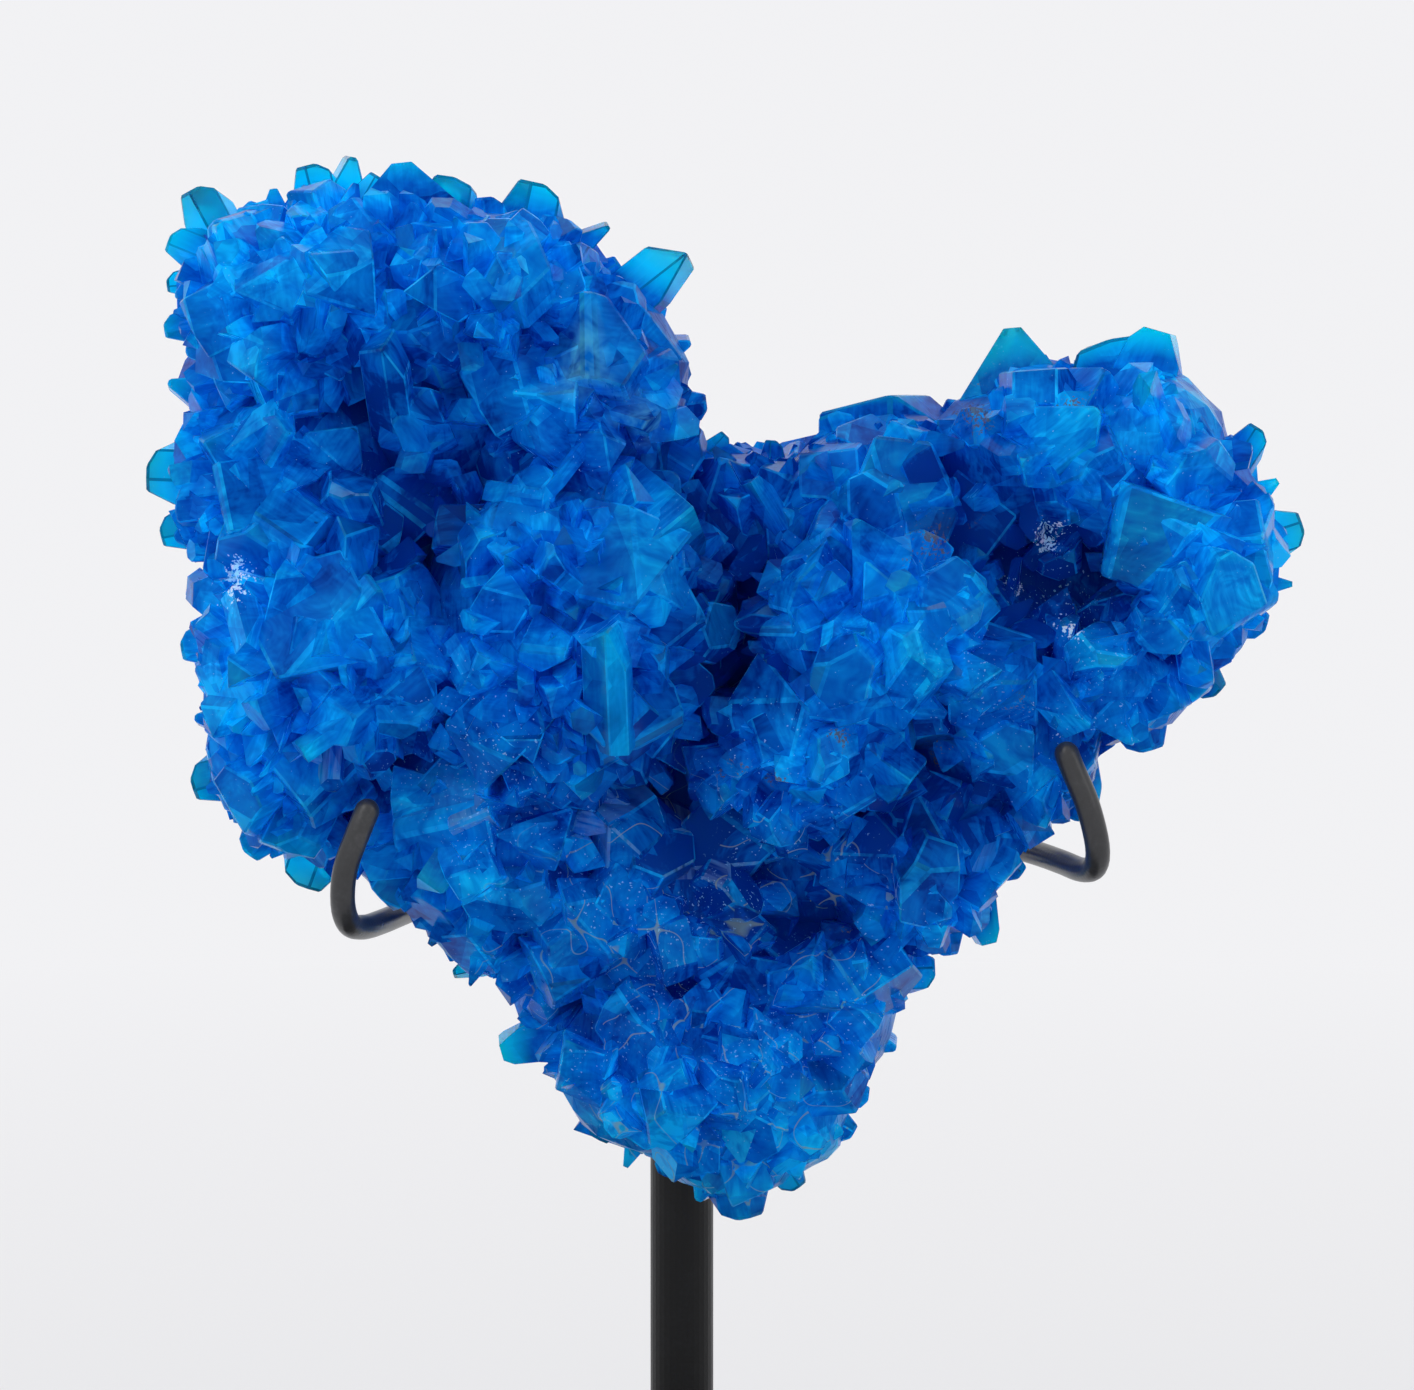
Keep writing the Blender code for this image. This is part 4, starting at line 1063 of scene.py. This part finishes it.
def crystalMaterial():
    # Milky blue crystal with clear facets and tips, over it painted highlights on the rims, painted light and
    # shade on the clear tips, powder, dust, rust and fibres
    material, maker = newFinish("chalcanthite")
    shade = maker.attribute("shade")
    facet = maker.attribute("facet")
    out = maker.attribute("out")
    clearness = maker.attribute("clear")
    rim = maker.attribute("rim")
    place = maker.place()
    grain = maker.value("ShaderNodeUVMap", "UV", {"uv_map": "grain"})
    sizes = crystalLook["sizes"]
    veils = maker.noise(place, sizes["veils"] * mm, 3.0, 0.72, 0.9).between(0.36, 0.64)
    clouds = maker.noise(place, sizes["clouds"] * mm, 0.0)
    streaks = maker.noise(maker.vector("MULTIPLY", grain, sizes["streaks"]), 1.0, 2.0, 0.65, 0.0, "2D")
    inner = maker.value("ShaderNodeSeparateColor", 0, None, {0: maker.cells(grain, sizes["cells"])})
    grit = maker.noise(place, sizes["grit"] * mm, 1.0, 0.6)

    look = crystalLook["tone"]  # from dark navy to light blue, with painted light and shade in it, then the marks over it
    tone = (maker.attribute("depth") + shade * look["crystal"] + facet * look["facet"] + inner * look["inner"]
            + streaks * look["streaks"] + clouds * look["clouds"] + veils * look["veils"] - look["less"])
    colour = maker.ramp(tone, crystalLook["blues"])
    fibres = (maker.noise(place, sizes["fibres"] * mm, 0.0) - 0.5).size().between(0.01, 0.004)
    fibres = fibres * inner.between(0.38, 0.42) * maker.attribute("fibres").between(0.0, 0.2)
    powderField = maker.attribute("powder")
    rustField = maker.attribute("rust")
    masks = {
        # Painted highlight along the chamfered edges
        "rim": rim * veils,
        # Bright cyan where clear crystals stand out: partly their paler thin tint, partly painted light shining
        # through them
        "clear": (clearness * out).between(0.14, 0.5),
        # Painted light: pale cyan patches inside the clearest tips
        "inner_painted_light": (clearness * out).between(0.55, 0.95) * inner,
        # Painted shade: dark navy along the chamfers of clear crystals
        "edge": (rim * clearness).between(0.45, 0.7),
        "green": maker.attribute("green") * veils * 1.5,
        # Partly bloom, partly a painted reflection
        "bloom": maker.attribute("bloom") * streaks.between(0.3, 0.6),
        "fibres": fibres,
        "dust": (grit + maker.attribute("dust") * 0.1).between(0.74, 0.78) * clouds.between(0.42, 0.56),
        "rust": (rustField * 0.4 + veils * 0.3 + grit).between(0.85, 1.0) * rustField.between(0.0, 0.15),
        "powder": (powderField * 0.6 + veils * 0.4 + grit).between(1.14, 1.22) * powderField.between(0.0, 0.15),
    }
    for name, mask in masks.items():
        strength, paint = crystalLook["marks"][name]
        colour = maker.blended(mask * strength, colour, (*paint, 1.0))
    dull = masks["fibres"].highest(masks["rust"]).highest(masks["powder"]).highest(masks["bloom"] * 0.5)

    milky = maker.node("ShaderNodeBsdfPrincipled", {"subsurface_method": "BURLEY"}, {
        "Base Color": colour, "Roughness": facet * 0.2 + streaks * 0.15 + dull * 0.4 + 0.06,
        "IOR": crystalLook["ior"], "Specular IOR Level": 0.08, "Specular Tint": (0.1, 0.5, 1.0, 1.0),
        "Subsurface Weight": 1.0, "Subsurface Radius": crystalLook["scatter"], "Subsurface Scale": mm})
    clear = maker.node("ShaderNodeBsdfPrincipled", None, {
        "Roughness": 0.05, "IOR": crystalLook["ior"], "Transmission Weight": 1.0,
        "Base Color": (1.0, 1.0, 1.0, 1.0),
        "Specular IOR Level": 0.2, "Specular Tint": (0.2, 0.6, 1.0, 1.0)})
    share = crystalLook["share"]
    seeThrough = facet.between(0.85, 0.95) * share["windows"] + clearness.between(0.2, 1.0) * out * share["clear"]
    seeThrough = seeThrough * (1 - dull)
    both = maker.node("ShaderNodeMixShader", None, {0: seeThrough, 1: milky.outputs[0], 2: clear.outputs[0]})
    absorbed = Vector(crystalLook["absorbed"]) / mm
    depth = max(absorbed)
    volume = maker.node("ShaderNodeVolumeAbsorption", None, {
        "Color": (*[1 - part / depth for part in absorbed], 1.0), "Density": depth})
    maker.node("ShaderNodeOutputMaterial", None, {"Surface": both.outputs[0], "Volume": volume.outputs[0]})
    return material


# The floor's rings in metres: radius and height
paper = {
    "rings": [(0.0, 0.0), (0.6, 0.0), (1.4, 0.0), (2.2, 0.0), (2.8, 0.02), (3.4, 0.1), (4.0, 0.3), (4.5, 0.62)],
    "turns": 64,
    "fade": (0.15, 0.7),  # where lit paper turns into glowing wall
    "white": (0.8, 0.8, 0.81),
    "wallGlow": (0.885, 0.885, 0.905),
}


def buildStage():
    # Near the stand the floor is lit paper, further off it glows like a lit studio wall
    floor = bmesh.new()
    turns = paper["turns"]
    grid = []
    for radius, height in paper["rings"]:
        if radius == 0:
            grid.append([floor.verts.new((0, 0, 0))] * turns)
        else:
            grid.append([floor.verts.new((radius * math.cos(2 * math.pi * i / turns),
                                          radius * math.sin(2 * math.pi * i / turns), height))
                         for i in range(turns)])
    for inner, outer in zip(grid, grid[1:]):
        for i in range(turns):
            j = (i + 1) % turns
            corners = [inner[i], outer[i], outer[j]] + ([inner[j]] if inner[j] is not inner[i] else [])
            floor.faces.new(corners)
    thing = addObject("floor", meshFrom("floor", floor))
    thing.data.shade_smooth()
    material, maker = newFinish("floor white")
    black = (0.0, 0.0, 0.0, 1.0)
    far = maker.vector("LENGTH", maker.place(), (0, 0, 0), "Value").between(*paper["fade"])
    surface = maker.node("ShaderNodeBsdfPrincipled", None, {
        "Base Color": maker.blended(far, (*paper["white"], 1.0), black),
        "Emission Color": maker.blended(far, black, (*paper["wallGlow"], 1.0)),
        "Emission Strength": 1.0, "Roughness": 0.9, "Specular IOR Level": 0.0})
    maker.node("ShaderNodeOutputMaterial", None, {"Surface": surface.outputs[0]})
    thing.data.materials.append(material)
    print("stage: floor of", len(paper["rings"]), "rings")


light = {
    "room": [(0.0, (0.85, 0.85, 0.86)), (0.5, (0.85, 0.85, 0.86)),  # from behind the camera to behind the stand
             (0.8, (0.9, 0.9, 0.91)), (1.0, (0.9, 0.9, 0.91))],
    "target": (0, 0, 100),
    "lamps": [  # name, place, size, watts
        ("key", (-900, -1000, 1500), (900, 900), 5), ("fill", (1300, -700, 900), (600, 900), 1.5),
        ("back", (300, 1200, 1600), (1000, 700), 3)],
}


def buildLight():
    # A white room, with soft lamps that only lift the top and the sides a little
    world = bpy.data.worlds.new("studio")
    world.use_nodes = True
    bpy.context.scene.world = world
    maker = Maker(world.node_tree)
    maker.tree.nodes.clear()
    direction = maker.value("ShaderNodeTexCoord", "Generated")
    depth = maker.value("ShaderNodeSeparateXYZ", "Y", None, {0: direction}).between(-1.0, 1.0)
    room = maker.node("ShaderNodeBackground", None, {"Color": maker.ramp(depth, light["room"])})
    maker.node("ShaderNodeOutputWorld", None, {"Surface": room.outputs[0]})
    for name, place, size, watts in light["lamps"]:
        area = bpy.data.lights.new(name, "AREA")
        area.shape = "RECTANGLE"
        area.size, area.size_y = [side * mm for side in size]
        area.energy = watts
        lamp = bpy.data.objects.new(name, area)
        lamp.location = Vector(place) * mm
        lamp.rotation_euler = (Vector(light["target"]) - Vector(place)).to_track_quat("-Z", "Y").to_euler()
        bpy.context.scene.collection.objects.link(lamp)
    print("light: white room and", len(light["lamps"]), "lamps")


view = {
    "target": (2.6, 0, 100.5),
    "distance": 750,
    "rise": 4,  # degrees above the horizon
    "lens": 191,
    "sensor": 36,
}


def buildCamera():
    camera = bpy.data.cameras.new("photo view")
    camera.sensor_width = view["sensor"]
    camera.lens = view["lens"]
    camera.clip_start = 0.02
    camera.clip_end = 50
    eye = bpy.data.objects.new("photo view", camera)
    rise = math.radians(view["rise"])
    back = Vector((0, -math.cos(rise), math.sin(rise)))
    eye.location = (Vector(view["target"]) + back * view["distance"]) * mm
    eye.rotation_euler = (-back).to_track_quat("-Z", "Y").to_euler()
    bpy.context.scene.collection.objects.link(eye)
    bpy.context.scene.camera = eye
    bpy.context.scene.view_settings.view_transform = "Standard"
    print("camera:", view["lens"], "mm lens,", view["distance"], "mm away")


clearScene()
buildCamera()
cluster, crystals = buildCrystals(crystalMaterial())
markCrystals(cluster, crystals)
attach(cluster, "root")
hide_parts("crystal_cluster")
bendWire = wireTree(paintMaterial("wire enamel and sheen"))
buildArm("leftWireArm", "left_arm", -1, bendWire)
buildArm("rightWireArm", "right_arm", 1, bendWire)
paintStand(paintMaterial("post enamel"))
buildStage()
buildLight()
